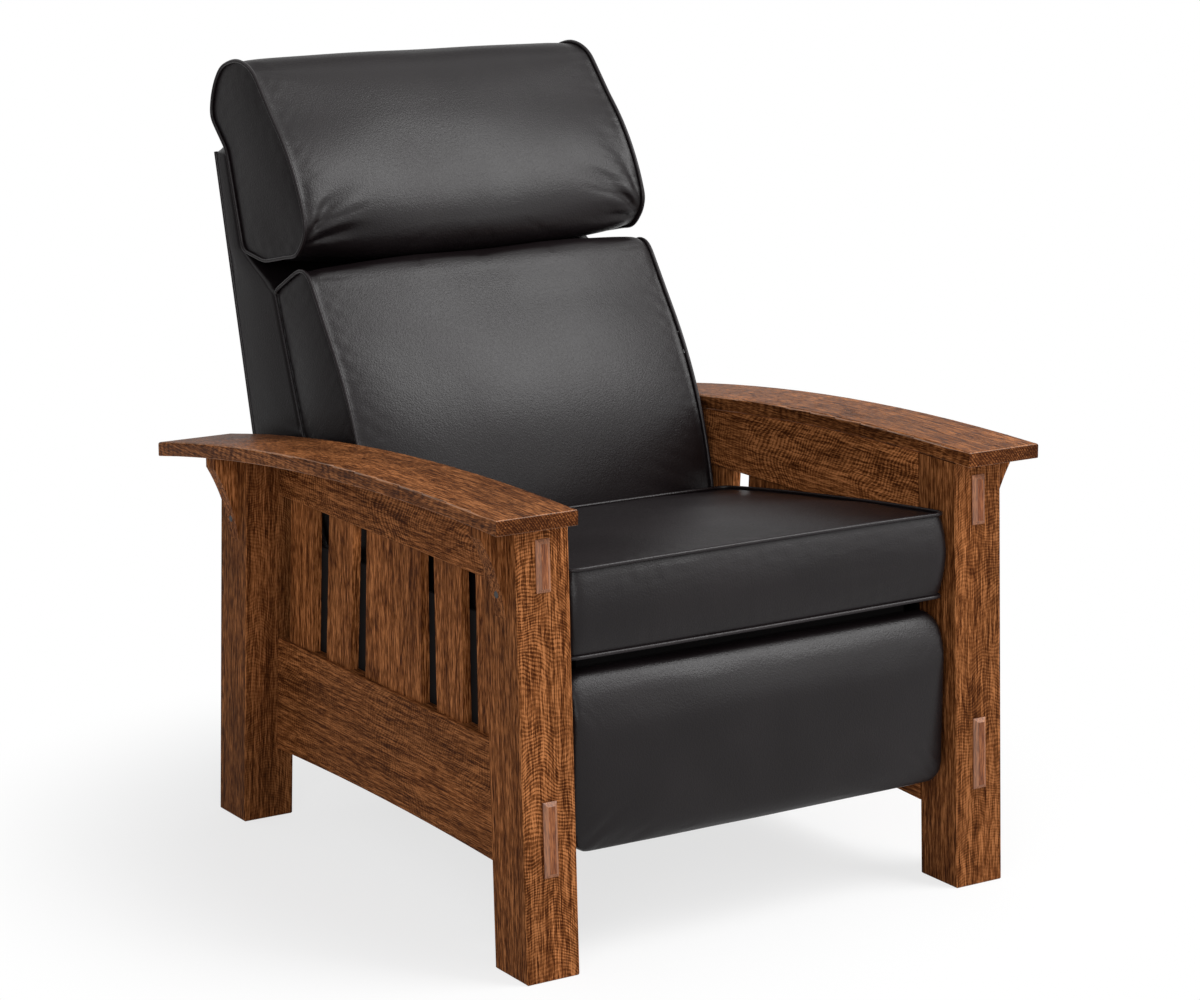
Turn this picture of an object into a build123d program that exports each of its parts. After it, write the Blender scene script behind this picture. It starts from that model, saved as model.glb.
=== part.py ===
from build123d import *
import os
from math import atan2, cos, degrees, hypot, pi, radians, sin, sqrt, tan

os.makedirs("parts", exist_ok=True)

# A mission reclining armchair with raked posts, bowed arms and a push-back mechanism.
# The front looks along -Y, the floor is at Z = 0 and X = 0 is the middle plane.
# Left is the side at -X. Lengths are in millimetres and angles in degrees.
# Places along Y are given from the middle of the feet, and the planes move them.

# Whole chair
frame_width = 752.0
foot_span = 850.6
arm_reach_front = 426.0
arm_reach_rear = 508.0
pillow_rear = 594.0
overrun = 40.0
eased_edge = 1.5
seated_gap = 0.3
joint_clearance = 0.1
quarter_turn = 90.0

# Posts
post_width = 76.5
post_depth = 78.4
front_rake = 2.6
rear_rake = 3.5

# Arms
arm_thickness = 20.0
arm_overhang = 42.0
arm_inset = 2.5
arm_bow_radius = 4660.0
arm_apex_height = 599.5
arm_apex_ahead = 300.0
arm_round = 3.0

# Side rails
rail_thickness = 25.2
upper_rail_drop = 123.5
lower_rail_top = 267.0
lower_rail_bottom = 103.0
lower_rail_arch = 8.0
tenon_thickness = 10.0
tenon_length = 25.0
tenon_shoulder = 14.0
upper_tenon_height = 26.0

# Slats, from the rear post to the front post; places are shares of half the bay
slat_thickness = 12.0
slat_width = 68.5
slat_tongue = 9.0
slat_width_shares = (1, 1, 2.175, 1, 1)
slat_place_shares = (0.803, 0.471, 0.025, -0.414, -0.733)
slat_lean_shares = (0.057, 0.074, 0.027, -0.019, -0.019)
slat_flare_shares = (0, 0, 0.021, 0, 0)

# Linings behind the slats
lining_thickness = 5.0
lining_height = 150.0

# Corbels and their screws
corbel_thickness = 26.0
corbel_reach = 35.0
corbel_height = 120.0
corbel_land = 15.0
corbel_hollow_reach = 16.0
corbel_hollow_drop = 55.0
screw_below_arm = 90.0
screw_head_radius = 4.8
screw_head_thickness = 2.5
screw_shank_radius = 2.4
screw_seat = 3.0
screw_grip = 25.0
bore_clearance = 0.1
bore_end = 1.0

# Tenon caps on the front posts
cap_width = 20.5
upper_cap_height = 67.0
upper_cap_drop = 72.5
lower_cap_height = 97.0
lower_cap_centre = 182.0
cap_socket = 6.0
cap_proud = 1.5
cap_bevel_height = 4.5
cap_bevel_angle = 50.0

# Cross stretchers between the side frames
stretcher_thickness = 22.0
front_stretcher_ahead = 122.0
front_stretcher_bottom = 106.0
front_stretcher_height = 54.0
rear_stretcher_inset = 17.0
rear_stretcher_bottom = 110.0
rear_stretcher_height = 70.0

# Steel plates of the mechanism, in layers from the side rails inwards
plate_thickness = 3.0
plate_gap = 1.0
stud_radius = 4.0
stud_clearance = 0.05
stud_end = 0.5
shoulder_radius = 6.0
link_width = 18.0

# Base plates and glide links
base_plate_bottom = 166.0
base_plate_top = 262.0
base_plate_front = 165.0
base_plate_rear = 185.0
base_plate_corner = 12.0
bolt_spacing = 60.0
bolt_height = 190.0
bolt_radius = 3.0
bolt_head_radius = 7.0
bolt_head_thickness = 2.5
bolt_length = 20.0
glide_front = -130.0
glide_rear = 150.0
glide_pivot_height = 205.0
glide_length = 80.0
glide_lean_angle = 22.0
glide_link_width = 24.0
glide_open_clearance = 0.3

# Seat rails
seat_rail_front = 350.0
seat_rail_rear = 224.0
seat_rail_bottom = 296.0
seat_rail_top = 348.0
seat_flange_width = 44.0
lug_width = 26.0

# Seat frame, springs and cushion
seat_frame_half = 258.0
seat_board = 22.0
seat_frame_front = 350.0
seat_frame_rear = 118.0
seat_frame_front_top = 395.0
seat_frame_rear_top = 366.0
seat_rear_board_drop = 30.0
spring_count = 4
spring_half_turns = 9
spring_half_straight = 22.0
spring_wire_radius = 1.8
seat_half = 288.0
seat_front = 386.0
seat_rear = 116.0
seat_front_top = 508.0
seat_rear_top = 450.0
seat_bulge = 11.0
seat_edge_crown = 5.0
seat_crown = 26.0
seat_crown_share = 0.45
seat_round = 6.0

# Footrest linkage: points as (place along Y, height), angles above straight ahead
swing_pivot = (-250.0, 321.0)
swing_length = 140.0
swing_rest_angle = -132.0
footrest_pivot = (-345.0, 277.5)
carrier_tail = 34.0
tilt_inset = 10.0
tilt_crank = 13.7
tilt_crank_angle = 67.3
tilt_stud_radius = 3.0
tilt_open_clearance = 1.8
control_open_clearance = 0.3
tube_along = 50.0
tube_aside = 11.0
tube_radius = 8.0
tube_wall = 1.5
tube_lobe = 2.0

# Footrest
footrest_half = 288.0
footrest_bottom = 152.0
footrest_top = 386.0
footrest_back = 363.0
footrest_front = 396.0
footrest_crown = 12.0
footrest_corner = 24.0
footrest_round = 10.0
footrest_board_margin = 16.0
footrest_board_thickness = 12.0
bracket_flange = 27.0
bracket_height = 76.0

# Back: outline of the cover as (place along Y, height)
back_half = 281.0
back_skin = 10.0
back_round = 7.0
back_bottom_rear = (432.0, 330.0)
back_top_rear = (587.0, 930.0)
back_top_front = (548.0, 932.0)
back_neck = (503.0, 794.0)
back_shoulder = (405.0, 747.0)
back_lumbar = (331.0, 560.0)
back_bottom_front = (240.0, 330.0)
back_panel_thickness = 18.0
back_panel_foot = 342.0
back_rail_thickness = 19.0
back_rail_height = 60.0
back_rail_place_shares = {"top": 0.858, "middle": 0.517, "bottom": 0.1}
back_pivot = (205.0, 306.0)
back_pivot_radius = 5.0
bracket_eye = 14.0
bracket_top = 440.0
bracket_width = 46.0
bracket_clear = 2.0

# Lumbar cushion, front face from its foot to its top edge
lumbar_half = 281.0
lumbar_foot = (128.0, 402.0)
lumbar_belly = (172.0, 575.0)
lumbar_brow = (248.0, 706.0)
lumbar_top_front = (302.0, 782.0)
lumbar_top_middle = (318.0, 788.0)
lumbar_top_rear = (336.0, 784.0)
lumbar_crown = 26.0
lumbar_brow_crown = 20.0
lumbar_top_crown = 6.0
lumbar_face_angle = 31.0

# Head pillow, from its foot on the shoulder up the front and over the top
pillow_half = 280.0
pillow_under = (438.0, 787.0)
pillow_foot = (362.0, 803.0)
pillow_chin = (321.0, 823.0)
pillow_nose = (310.0, 852.0)
pillow_face = (337.0, 911.0)
pillow_brow = (403.0, 991.0)
pillow_front = (456.0, 1048.0)
pillow_crest = (508.0, 1064.0)
pillow_back = (556.0, 1050.0)
pillow_nape = (583.9, 1017.1)
pillow_heel_height = 975.0
pillow_crown = 7.0
pillow_nape_share = 0.2
pillow_centre = (450.0, 920.0)

sides = (("left", -1), ("right", 1))
ends = ("front", "rear")
mid_y = (arm_reach_front - pillow_rear) / 2
post_outer = frame_width / 2
post_inner = post_outer - post_width
post_middle = post_outer - post_width / 2
rail_outer = post_inner + rail_thickness
rail_middle = post_inner + rail_thickness / 2
arm_centre = (-arm_apex_ahead, arm_apex_height - arm_bow_radius)
under_radius = arm_bow_radius - arm_thickness
upper_rail_bottom = arm_apex_height - upper_rail_drop
upper_cap_centre = arm_apex_height - upper_cap_drop


def side_plane(x):
    """Plane across the chair at x, with local axes along Y from the feet's middle and along Z."""
    return Plane(origin=(x, mid_y, 0), x_dir=(0, 1, 0), z_dir=(1, 0, 0))


def front_plane(y):
    """Plane that faces the front at y, with local axes along X and Z."""
    return Plane(origin=(0, mid_y + y, 0), x_dir=(1, 0, 0), z_dir=(0, -1, 0))


def outward_plane(side, x, y, z):
    """Plane that faces outwards from the middle of the chair, on one side."""
    return Plane(origin=(side * x, mid_y + y, z), x_dir=(0, 1, 0), z_dir=(side, 0, 0))


def slab(side, near, far):
    """Plane on which a slab between two distances from the middle starts, on one side."""
    return side_plane(near if side > 0 else -far)


def prism(side, near, far, *points, mode=Mode.ADD):
    """Slab with a straight-sided outline, between two distances from the middle."""
    with BuildSketch(slab(side, near, far)) as profile:
        Polygon(*points, align=None)
    extrude(profile.sketch, amount=far - near, mode=mode)


def bar(half, *points):
    """Straight-sided bar across the whole chair."""
    with BuildSketch(side_plane(-half)) as profile:
        Polygon(*points, align=None)
    extrude(profile.sketch, amount=2 * half)


def disc(plane, radius, depth, mode=Mode.ADD):
    """Round stud or bore, from a plane along its normal, or against it if depth is negative."""
    with BuildSketch(plane) as profile:
        Circle(radius)
    extrude(profile.sketch, amount=depth, mode=mode)


def stud(side, point, near, far, radius=stud_radius):
    """Round stud along X between two distances from the middle plane."""
    with BuildSketch(slab(side, near, far)) as profile:
        with Locations(point):
            Circle(radius)
    extrude(profile.sketch, amount=far - near)


def finish(piece, name):
    """Label a finished piece and write it."""
    piece.part.label = name
    export_step(piece.part, f"parts/{name}.step")


def front_post_front(z):
    return -foot_span / 2 + tan(radians(front_rake)) * z


def front_post_rear(z):
    return front_post_front(z) + post_depth


def rear_post_rear(z):
    return foot_span / 2 - tan(radians(rear_rake)) * z


def rear_post_front(z):
    return rear_post_rear(z) - post_depth


def arm_under(y):
    """Height of the arm's bowed underside."""
    return arm_centre[1] + sqrt(under_radius**2 - (y - arm_centre[0]) ** 2)


def under_arm():
    """Cut the sketch off at the arm's underside."""
    with Locations(arm_centre):
        Circle(under_radius, mode=Mode.INTERSECT)


def tenon_points(tenon, grow=0):
    """Outline from the end of one tenon to the end of the other, grown to cut its mortises."""
    low = tenon[0] - grow
    top = tenon[0] + tenon[1] + grow
    ahead = tenon_length + grow
    return (
        (front_post_rear(low) - ahead, low),
        (rear_post_front(low) + ahead, low),
        (rear_post_front(top) + ahead, top),
        (front_post_rear(top) - ahead, top),
    )


def cut_mortises(side, tenon):
    """Mortises for the tenons of one rail."""
    half = tenon_thickness / 2 + joint_clearance
    points = tenon_points(tenon, joint_clearance)
    prism(side, rail_middle - half, rail_middle + half, *points, mode=Mode.SUBTRACT)


def add_tenons(side, tenon):
    """Tenons at both ends of a rail."""
    half = tenon_thickness / 2
    prism(side, rail_middle - half, rail_middle + half, *tenon_points(tenon))


lower_tenon_bottom = lower_rail_bottom + lower_rail_arch + tenon_shoulder
lower_tenon = (lower_tenon_bottom, lower_rail_top - tenon_shoulder - lower_tenon_bottom)
upper_tenon = (upper_rail_bottom + tenon_shoulder, upper_tenon_height)
caps = ((upper_cap_centre, upper_cap_height), (lower_cap_centre, lower_cap_height))


def cap_plane(side, centre):
    """Plane on the raked front face of a front post, at the middle of a cap."""
    normal = (0, -cos(radians(front_rake)), sin(radians(front_rake)))
    origin = (side * post_middle, mid_y + front_post_front(centre), centre)
    return Plane(origin=origin, x_dir=(1, 0, 0), z_dir=normal)


def corbel_centre(end):
    """Place along Y of a corbel, in the middle of its post under the arm."""
    height = arm_apex_height - corbel_height
    face = front_post_front(height) if end == "front" else rear_post_front(height)
    return face + post_depth / 2


def screw_plane(side, end):
    """Plane on the outer face of a post at its corbel screw."""
    centre = corbel_centre(end)
    return outward_plane(side, post_outer, centre, arm_under(centre) - screw_below_arm)


# Posts, with mortises for the rails and, in front, sockets for the caps
for name, side in sides:
    for end in ends:
        with BuildPart() as post:
            with BuildSketch(slab(side, post_inner, post_outer)):
                before = front_post_front if end == "front" else rear_post_front
                behind = front_post_rear if end == "front" else rear_post_rear
                Polygon(
                    (before(0), 0),
                    (behind(0), 0),
                    (behind(arm_apex_height), arm_apex_height),
                    (before(arm_apex_height), arm_apex_height),
                    align=None,
                )
                under_arm()
            extrude(amount=post_width)
            long_edges = post.edges().filter_by(lambda edge: edge.length > upper_rail_bottom)
            foot_edges = post.faces().sort_by(Axis.Z)[0].edges()
            chamfer(long_edges + foot_edges, eased_edge)
            cut_mortises(side, lower_tenon)
            cut_mortises(side, upper_tenon)
            if end == "front":
                for centre, height in caps:
                    with BuildSketch(cap_plane(side, centre)):
                        Rectangle(cap_width, height)
                    extrude(amount=-cap_socket, mode=Mode.SUBTRACT)
            hole_depth = -screw_grip - bore_end
            disc(screw_plane(side, end), screw_shank_radius + bore_clearance, hole_depth, Mode.SUBTRACT)
        finish(post, f"post_{end}_{name}")

# Caps that stand for through tenons, with bevelled ends
with BuildPart() as tenon_caps:
    for name, side in sides:
        for centre, height in caps:
            width = cap_width - 2 * joint_clearance
            length = height - 2 * joint_clearance
            with BuildSketch(cap_plane(side, centre).offset(joint_clearance - cap_socket)):
                Rectangle(width, length)
            extrude(amount=cap_socket + cap_proud - joint_clearance)
            with BuildSketch(cap_plane(side, centre).offset(cap_proud)):
                Rectangle(width, length)
            extrude(amount=cap_bevel_height, taper=cap_bevel_angle)
finish(tenon_caps, "tenon_caps")

# Arms, sawn to a bow
for name, side in sides:
    with BuildPart() as arm:
        arm_inner = post_inner + arm_inset
        arm_outer = post_outer + arm_overhang
        with BuildSketch(slab(side, arm_inner, arm_outer)):
            with Locations(arm_centre):
                Circle(arm_bow_radius)
                Circle(under_radius, mode=Mode.SUBTRACT)
            with Locations(((arm_reach_rear - arm_reach_front) / 2, arm_apex_height)):
                Rectangle(arm_reach_rear + arm_reach_front, arm_bow_radius, mode=Mode.INTERSECT)
        extrude(amount=arm_outer - arm_inner)
        underside = arm.faces().filter_by(GeomType.CYLINDER).sort_by(Axis.Z)[0]
        fillet(underside.edges(), eased_edge)
        top_face = arm.faces().filter_by(GeomType.CYLINDER).sort_by(Axis.Z)[-1]
        fillet(top_face.edges(), arm_round)
    finish(arm, f"arm_{name}")


def slat_points(number, grow=0):
    """Outline of one slat, leaning as its place in the fan asks."""
    bay_half = (rear_post_front(lower_rail_top) - front_post_rear(lower_rail_top)) / 2
    middle = (lower_rail_top + upper_rail_bottom) / 2
    width = slat_width * slat_width_shares[number]
    corners = []
    bottom = lower_rail_top - slat_tongue - grow
    top = upper_rail_bottom + slat_tongue + grow
    for height, edges in ((bottom, (-1, 1)), (top, (1, -1))):
        rise = height - middle
        centre = slat_place_shares[number] * bay_half - slat_lean_shares[number] * rise
        half = width / 2 - slat_flare_shares[number] * rise + grow
        corners += [(centre + edge * half, height) for edge in edges]
    return corners


def cut_slat_grooves(side):
    """Grooves for the tongues of the slats in a rail."""
    half = slat_thickness / 2 + joint_clearance
    for number in range(len(slat_place_shares)):
        points = slat_points(number, joint_clearance)
        prism(side, rail_middle - half, rail_middle + half, *points, mode=Mode.SUBTRACT)


# Upper rails, which follow the bow of the arms
for name, side in sides:
    with BuildPart() as upper_rail:
        with BuildSketch(slab(side, post_inner, rail_outer)):
            Polygon(
                (front_post_rear(upper_rail_bottom), upper_rail_bottom),
                (rear_post_front(upper_rail_bottom), upper_rail_bottom),
                (rear_post_front(arm_apex_height), arm_apex_height),
                (front_post_rear(arm_apex_height), arm_apex_height),
                align=None,
            )
            under_arm()
        extrude(amount=rail_thickness)
        chamfer(upper_rail.faces().sort_by(Axis.Z)[0].edges().filter_by(Axis.Y), eased_edge)
        add_tenons(side, upper_tenon)
        cut_slat_grooves(side)
    finish(upper_rail, f"upper_rail_{name}")

base_middle = (base_plate_rear - base_plate_front) / 2
bolt_places = [base_middle + step * bolt_spacing for step in (-1, 0, 1)]

# Lower rails, with an arched bottom edge
for name, side in sides:
    with BuildPart() as lower_rail:
        with BuildSketch(slab(side, post_inner, rail_outer)):
            with BuildLine():
                front_low = (front_post_rear(lower_rail_bottom), lower_rail_bottom)
                rear_low = (rear_post_front(lower_rail_bottom), lower_rail_bottom)
                crest = ((front_low[0] + rear_low[0]) / 2, lower_rail_bottom + lower_rail_arch)
                ThreePointArc(front_low, crest, rear_low)
                Polyline(
                    rear_low,
                    (rear_post_front(lower_rail_top), lower_rail_top),
                    (front_post_rear(lower_rail_top), lower_rail_top),
                    front_low,
                )
            make_face()
        extrude(amount=rail_thickness)
        chamfer(lower_rail.faces().sort_by(Axis.Z)[-1].edges().filter_by(Axis.Y), eased_edge)
        add_tenons(side, lower_tenon)
        cut_slat_grooves(side)
        for place in bolt_places:
            face = outward_plane(side, post_inner, place, bolt_height)
            disc(face, bolt_radius + bore_clearance, bolt_length, Mode.SUBTRACT)
    finish(lower_rail, f"lower_rail_{name}")

# Slats, each a board of its own
for name, side in sides:
    for number in range(len(slat_place_shares)):
        with BuildPart() as slat:
            half = slat_thickness / 2
            prism(side, rail_middle - half, rail_middle + half, *slat_points(number))
        finish(slat, f"slat_{number + 1}_{name}")

# Linings that stand on the lower rails and close the gaps between the slats
with BuildPart() as side_linings:
    lining_outer = rail_middle - slat_thickness / 2 - seated_gap
    low = lower_rail_top + seated_gap
    top = low + lining_height
    for name, side in sides:
        prism(
            side,
            lining_outer - lining_thickness,
            lining_outer,
            (front_post_rear(low) + seated_gap, low),
            (rear_post_front(low) - seated_gap, low),
            (rear_post_front(top) - seated_gap, top),
            (front_post_rear(top) + seated_gap, top),
        )
finish(side_linings, "side_linings")

# Corbels under the overhanging arms
for name, side in sides:
    for end in ends:
        centre = corbel_centre(end)
        top = arm_under(centre)
        with BuildPart() as corbel:
            with BuildSketch(front_plane(centre + corbel_thickness / 2)):
                with BuildLine():
                    tip = (side * post_outer, top - corbel_height)
                    hollow = (side * (post_outer + corbel_hollow_reach), top - corbel_hollow_drop)
                    nose = (side * (post_outer + corbel_reach), top - corbel_land)
                    ThreePointArc(tip, hollow, nose)
                    Polyline(nose, (nose[0], top + corbel_land), (tip[0], top + corbel_land), tip)
                make_face()
            extrude(amount=corbel_thickness)
            start = post_outer - overrun
            far = post_outer + corbel_reach + overrun
            with BuildSketch(slab(side, start, far)):
                with Locations(arm_centre):
                    Circle(under_radius)
            extrude(amount=far - start, mode=Mode.INTERSECT)
            face = screw_plane(side, end)
            disc(face, screw_shank_radius + bore_clearance, overrun, Mode.SUBTRACT)
            disc(face.offset(screw_seat), screw_head_radius + bore_clearance, overrun, Mode.SUBTRACT)
        finish(corbel, f"corbel_{end}_{name}")

# Screws that hold the corbels
with BuildPart() as corbel_screws:
    for name, side in sides:
        for end in ends:
            face = screw_plane(side, end)
            disc(face.offset(-screw_grip), screw_shank_radius, screw_grip + screw_seat)
            disc(face.offset(screw_seat), screw_head_radius, screw_head_thickness)
finish(corbel_screws, "corbel_screws")


def stretcher_points(front, bottom, height):
    """Outline of a stretcher's end."""
    rear = front + stretcher_thickness
    return (front, bottom), (rear, bottom), (rear, bottom + height), (front, bottom + height)


# Stretchers that tie the side frames together
with BuildPart() as front_stretcher:
    bar(post_inner, *stretcher_points(-front_stretcher_ahead, front_stretcher_bottom, front_stretcher_height))
    chamfer(front_stretcher.edges().filter_by(Axis.X), eased_edge)
finish(front_stretcher, "front_stretcher")

with BuildPart() as rear_stretcher:
    front = rear_post_front(rear_stretcher_bottom + rear_stretcher_height / 2) + rear_stretcher_inset
    bar(post_inner, *stretcher_points(front, rear_stretcher_bottom, rear_stretcher_height))
    chamfer(rear_stretcher.edges().filter_by(Axis.X), eased_edge)
finish(rear_stretcher, "rear_stretcher")

# Layers of the mechanism: distance of each plate's inner face from the middle plane
layer_pitch = plate_thickness + plate_gap
base_layer = post_inner - plate_thickness
glide_layer = base_layer - layer_pitch
rail_layer = glide_layer - layer_pitch
tilt_layer = rail_layer - layer_pitch
swing_layer = tilt_layer - layer_pitch
carrier_layer = swing_layer - layer_pitch
control_layer = carrier_layer - layer_pitch
pivot_hole = stud_radius + stud_clearance


def toward(start, length, angle):
    """Point at a length from another, at an angle above straight ahead."""
    return (start[0] - length * cos(radians(angle)), start[1] + length * sin(radians(angle)))


def link(side, layer, start, end, width, start_hole, end_hole):
    """Flat link with round ends, and a hole at an end where its radius isn't zero."""
    length = hypot(end[0] - start[0], end[1] - start[1])
    turn = degrees(atan2(end[1] - start[1], end[0] - start[0]))
    with BuildSketch(slab(side, layer, layer + plate_thickness)) as profile:
        with Locations(((start[0] + end[0]) / 2, (start[1] + end[1]) / 2)):
            SlotCenterToCenter(length, width, rotation=turn)
        for point, radius in ((start, start_hole), (end, end_hole)):
            if radius:
                with Locations(point):
                    Circle(radius, mode=Mode.SUBTRACT)
    extrude(profile.sketch, amount=plate_thickness)


def glide_top(place):
    """Upper pivot of a glide link at rest, when the link leans to the rear."""
    lean = radians(glide_lean_angle)
    return (place + glide_length * sin(lean), glide_pivot_height + glide_length * cos(lean))


# Base plates, bolted inside the lower rails
for name, side in sides:
    with BuildPart() as base_plate:
        with BuildSketch(slab(side, base_layer, post_inner)):
            with Locations((base_middle, (base_plate_bottom + base_plate_top) / 2)):
                RectangleRounded(
                    base_plate_rear + base_plate_front,
                    base_plate_top - base_plate_bottom,
                    base_plate_corner,
                )
            with Locations(*[(place, bolt_height) for place in bolt_places]):
                Circle(bolt_radius + bore_clearance, mode=Mode.SUBTRACT)
        extrude(amount=plate_thickness)
        for place in (glide_front, glide_rear):
            stud(side, (place, glide_pivot_height), glide_layer - stud_end, base_layer)
    finish(base_plate, f"base_plate_{name}")

with BuildPart() as base_bolts:
    for name, side in sides:
        for place in bolt_places:
            head_face = outward_plane(side, base_layer, place, bolt_height)
            disc(head_face.offset(-bolt_head_thickness), bolt_head_radius, bolt_head_thickness)
            disc(head_face, bolt_radius, plate_thickness + bolt_length - bore_end)
finish(base_bolts, "base_bolts")

# Glide links: the lower holes turn on the base plates, the upper ones on the seat rails
for end, place in (("front", glide_front), ("rear", glide_rear)):
    with BuildPart() as glide_links:
        top_hole = pivot_hole if end == "front" else stud_radius + glide_open_clearance
        for name, side in sides:
            foot = (place, glide_pivot_height)
            link(side, glide_layer, foot, glide_top(place), glide_link_width, pivot_hole, top_hole)
    finish(glide_links, f"glide_links_{end}")

# Pivots of the footrest linkage at rest
swing_end = toward(swing_pivot, swing_length, swing_rest_angle)
carrier_rise = degrees(atan2(footrest_pivot[1] - swing_end[1], swing_end[0] - footrest_pivot[0]))
carrier_end = toward(swing_end, -carrier_tail, carrier_rise)
control_pivot = toward(swing_pivot, -carrier_tail, carrier_rise)
tilt_start = toward(swing_pivot, swing_length - tilt_inset, swing_rest_angle)
tilt_pivot = toward(footrest_pivot, tilt_crank, tilt_crank_angle)
tube_centre = toward(toward(swing_pivot, tube_along, swing_rest_angle), tube_aside, swing_rest_angle + quarter_turn)

# Seat rails: angle bars with lugs for the glide links and studs for the linkage
for name, side in sides:
    with BuildPart() as seat_rail:
        rail_face = rail_layer + plate_thickness
        with BuildSketch(slab(side, rail_layer, rail_face)):
            centre = ((seat_rail_rear - seat_rail_front) / 2, (seat_rail_bottom + seat_rail_top) / 2)
            with Locations(centre):
                Rectangle(seat_rail_rear + seat_rail_front, seat_rail_top - seat_rail_bottom)
            for place in (glide_front, glide_rear):
                point = glide_top(place)
                height = seat_rail_top - lug_width - point[1]
                with Locations((point[0], point[1] + height / 2)):
                    SlotCenterToCenter(height, lug_width, rotation=quarter_turn)
            with Locations(back_pivot):
                Circle(back_pivot_radius + stud_clearance, mode=Mode.SUBTRACT)
        extrude(amount=plate_thickness)
        flange_inner = rail_face - seat_flange_width
        flange_bottom = seat_rail_top - plate_thickness
        prism(
            side,
            flange_inner,
            rail_face,
            (-seat_rail_front, flange_bottom),
            (seat_frame_rear, flange_bottom),
            (seat_frame_rear, seat_rail_top),
            (-seat_rail_front, seat_rail_top),
        )
        for place in (glide_front, glide_rear):
            stud(side, glide_top(place), rail_face, base_layer - stud_end)
        stud(side, swing_pivot, swing_layer - stud_end, rail_layer)
        stud(side, swing_pivot, tilt_layer - stud_end, rail_layer, shoulder_radius)
        stud(side, control_pivot, control_layer - stud_end, rail_layer)
        stud(side, control_pivot, carrier_layer - stud_end, rail_layer, shoulder_radius)
    finish(seat_rail, f"seat_rail_{name}")

# Swing links, with a lobe for the tube that keeps the two sides in step
with BuildPart() as swing_links:
    for name, side in sides:
        link(side, swing_layer, swing_pivot, swing_end, link_width, pivot_hole, pivot_hole)
        stud(side, tube_centre, swing_layer, swing_layer + plate_thickness, tube_radius + tube_lobe)
        far = tilt_layer + plate_thickness + stud_end
        stud(side, tilt_start, swing_layer + plate_thickness, far, tilt_stud_radius)
finish(swing_links, "swing_links")

with BuildPart() as torque_tube:
    with BuildSketch(side_plane(-swing_layer)):
        with Locations(tube_centre):
            Circle(tube_radius)
            Circle(tube_radius - tube_wall, mode=Mode.SUBTRACT)
    extrude(amount=2 * swing_layer)
finish(torque_tube, "torque_tube")

# Carrier links, which reach from the swing links to the footrest
with BuildPart() as carrier_links:
    for name, side in sides:
        link(side, carrier_layer, carrier_end, footrest_pivot, link_width, 0, 0)
        carrier_face = carrier_layer + plate_thickness
        for point in (swing_end, footrest_pivot):
            stud(side, point, carrier_face, swing_layer + plate_thickness)
        stud(side, carrier_end, control_layer - stud_end, carrier_layer)
finish(carrier_links, "carrier_links")

# Control links, parallel to the swing links
with BuildPart() as control_links:
    for name, side in sides:
        open_hole = stud_radius + control_open_clearance
        link(side, control_layer, control_pivot, carrier_end, link_width, pivot_hole, open_hole)
finish(control_links, "control_links")

# Tilt links, which turn the footrest as it comes up
with BuildPart() as tilt_links:
    for name, side in sides:
        open_hole = tilt_stud_radius + tilt_open_clearance
        link(side, tilt_layer, tilt_start, tilt_pivot, link_width, open_hole, 0)
        stud(side, tilt_pivot, swing_layer - stud_end, tilt_layer, tilt_stud_radius)
finish(tilt_links, "tilt_links")

# Footrest brackets, with flanges on the back of the footrest
with BuildPart() as footrest_brackets:
    flange_face = plate_thickness - footrest_back
    tail = footrest_pivot[0] + link_width / 2
    low = footrest_pivot[1] - link_width / 2
    high = tilt_pivot[1] + link_width / 2
    flange_low = (low + high - bracket_height) / 2
    flange_high = flange_low + bracket_height
    for name, side in sides:
        with BuildSketch(slab(side, swing_layer, swing_layer + plate_thickness)):
            Polygon(
                (-footrest_back, flange_low),
                (flange_face, flange_low),
                (tail, low),
                (tail, high),
                (flange_face, flange_high),
                (-footrest_back, flange_high),
                align=None,
            )
            with Locations(footrest_pivot):
                Circle(pivot_hole, mode=Mode.SUBTRACT)
            with Locations(tilt_pivot):
                Circle(tilt_stud_radius + stud_clearance, mode=Mode.SUBTRACT)
        extrude(amount=plate_thickness)
        prism(
            side,
            swing_layer + plate_thickness - bracket_flange,
            swing_layer,
            (-footrest_back, flange_low),
            (flange_face, flange_low),
            (flange_face, flange_high),
            (-footrest_back, flange_high),
        )
finish(footrest_brackets, "footrest_brackets")

footrest_height = footrest_top - footrest_bottom
footrest_middle = (footrest_top + footrest_bottom) / 2
board_width = 2 * (footrest_half - footrest_board_margin)
board_height = footrest_height - 2 * footrest_board_margin

with BuildPart() as footrest_board:
    with BuildSketch(front_plane(-footrest_back)):
        with Locations((0, footrest_middle)):
            RectangleRounded(board_width, board_height, footrest_board_margin)
    extrude(amount=footrest_board_thickness)
finish(footrest_board, "footrest_board")

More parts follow.
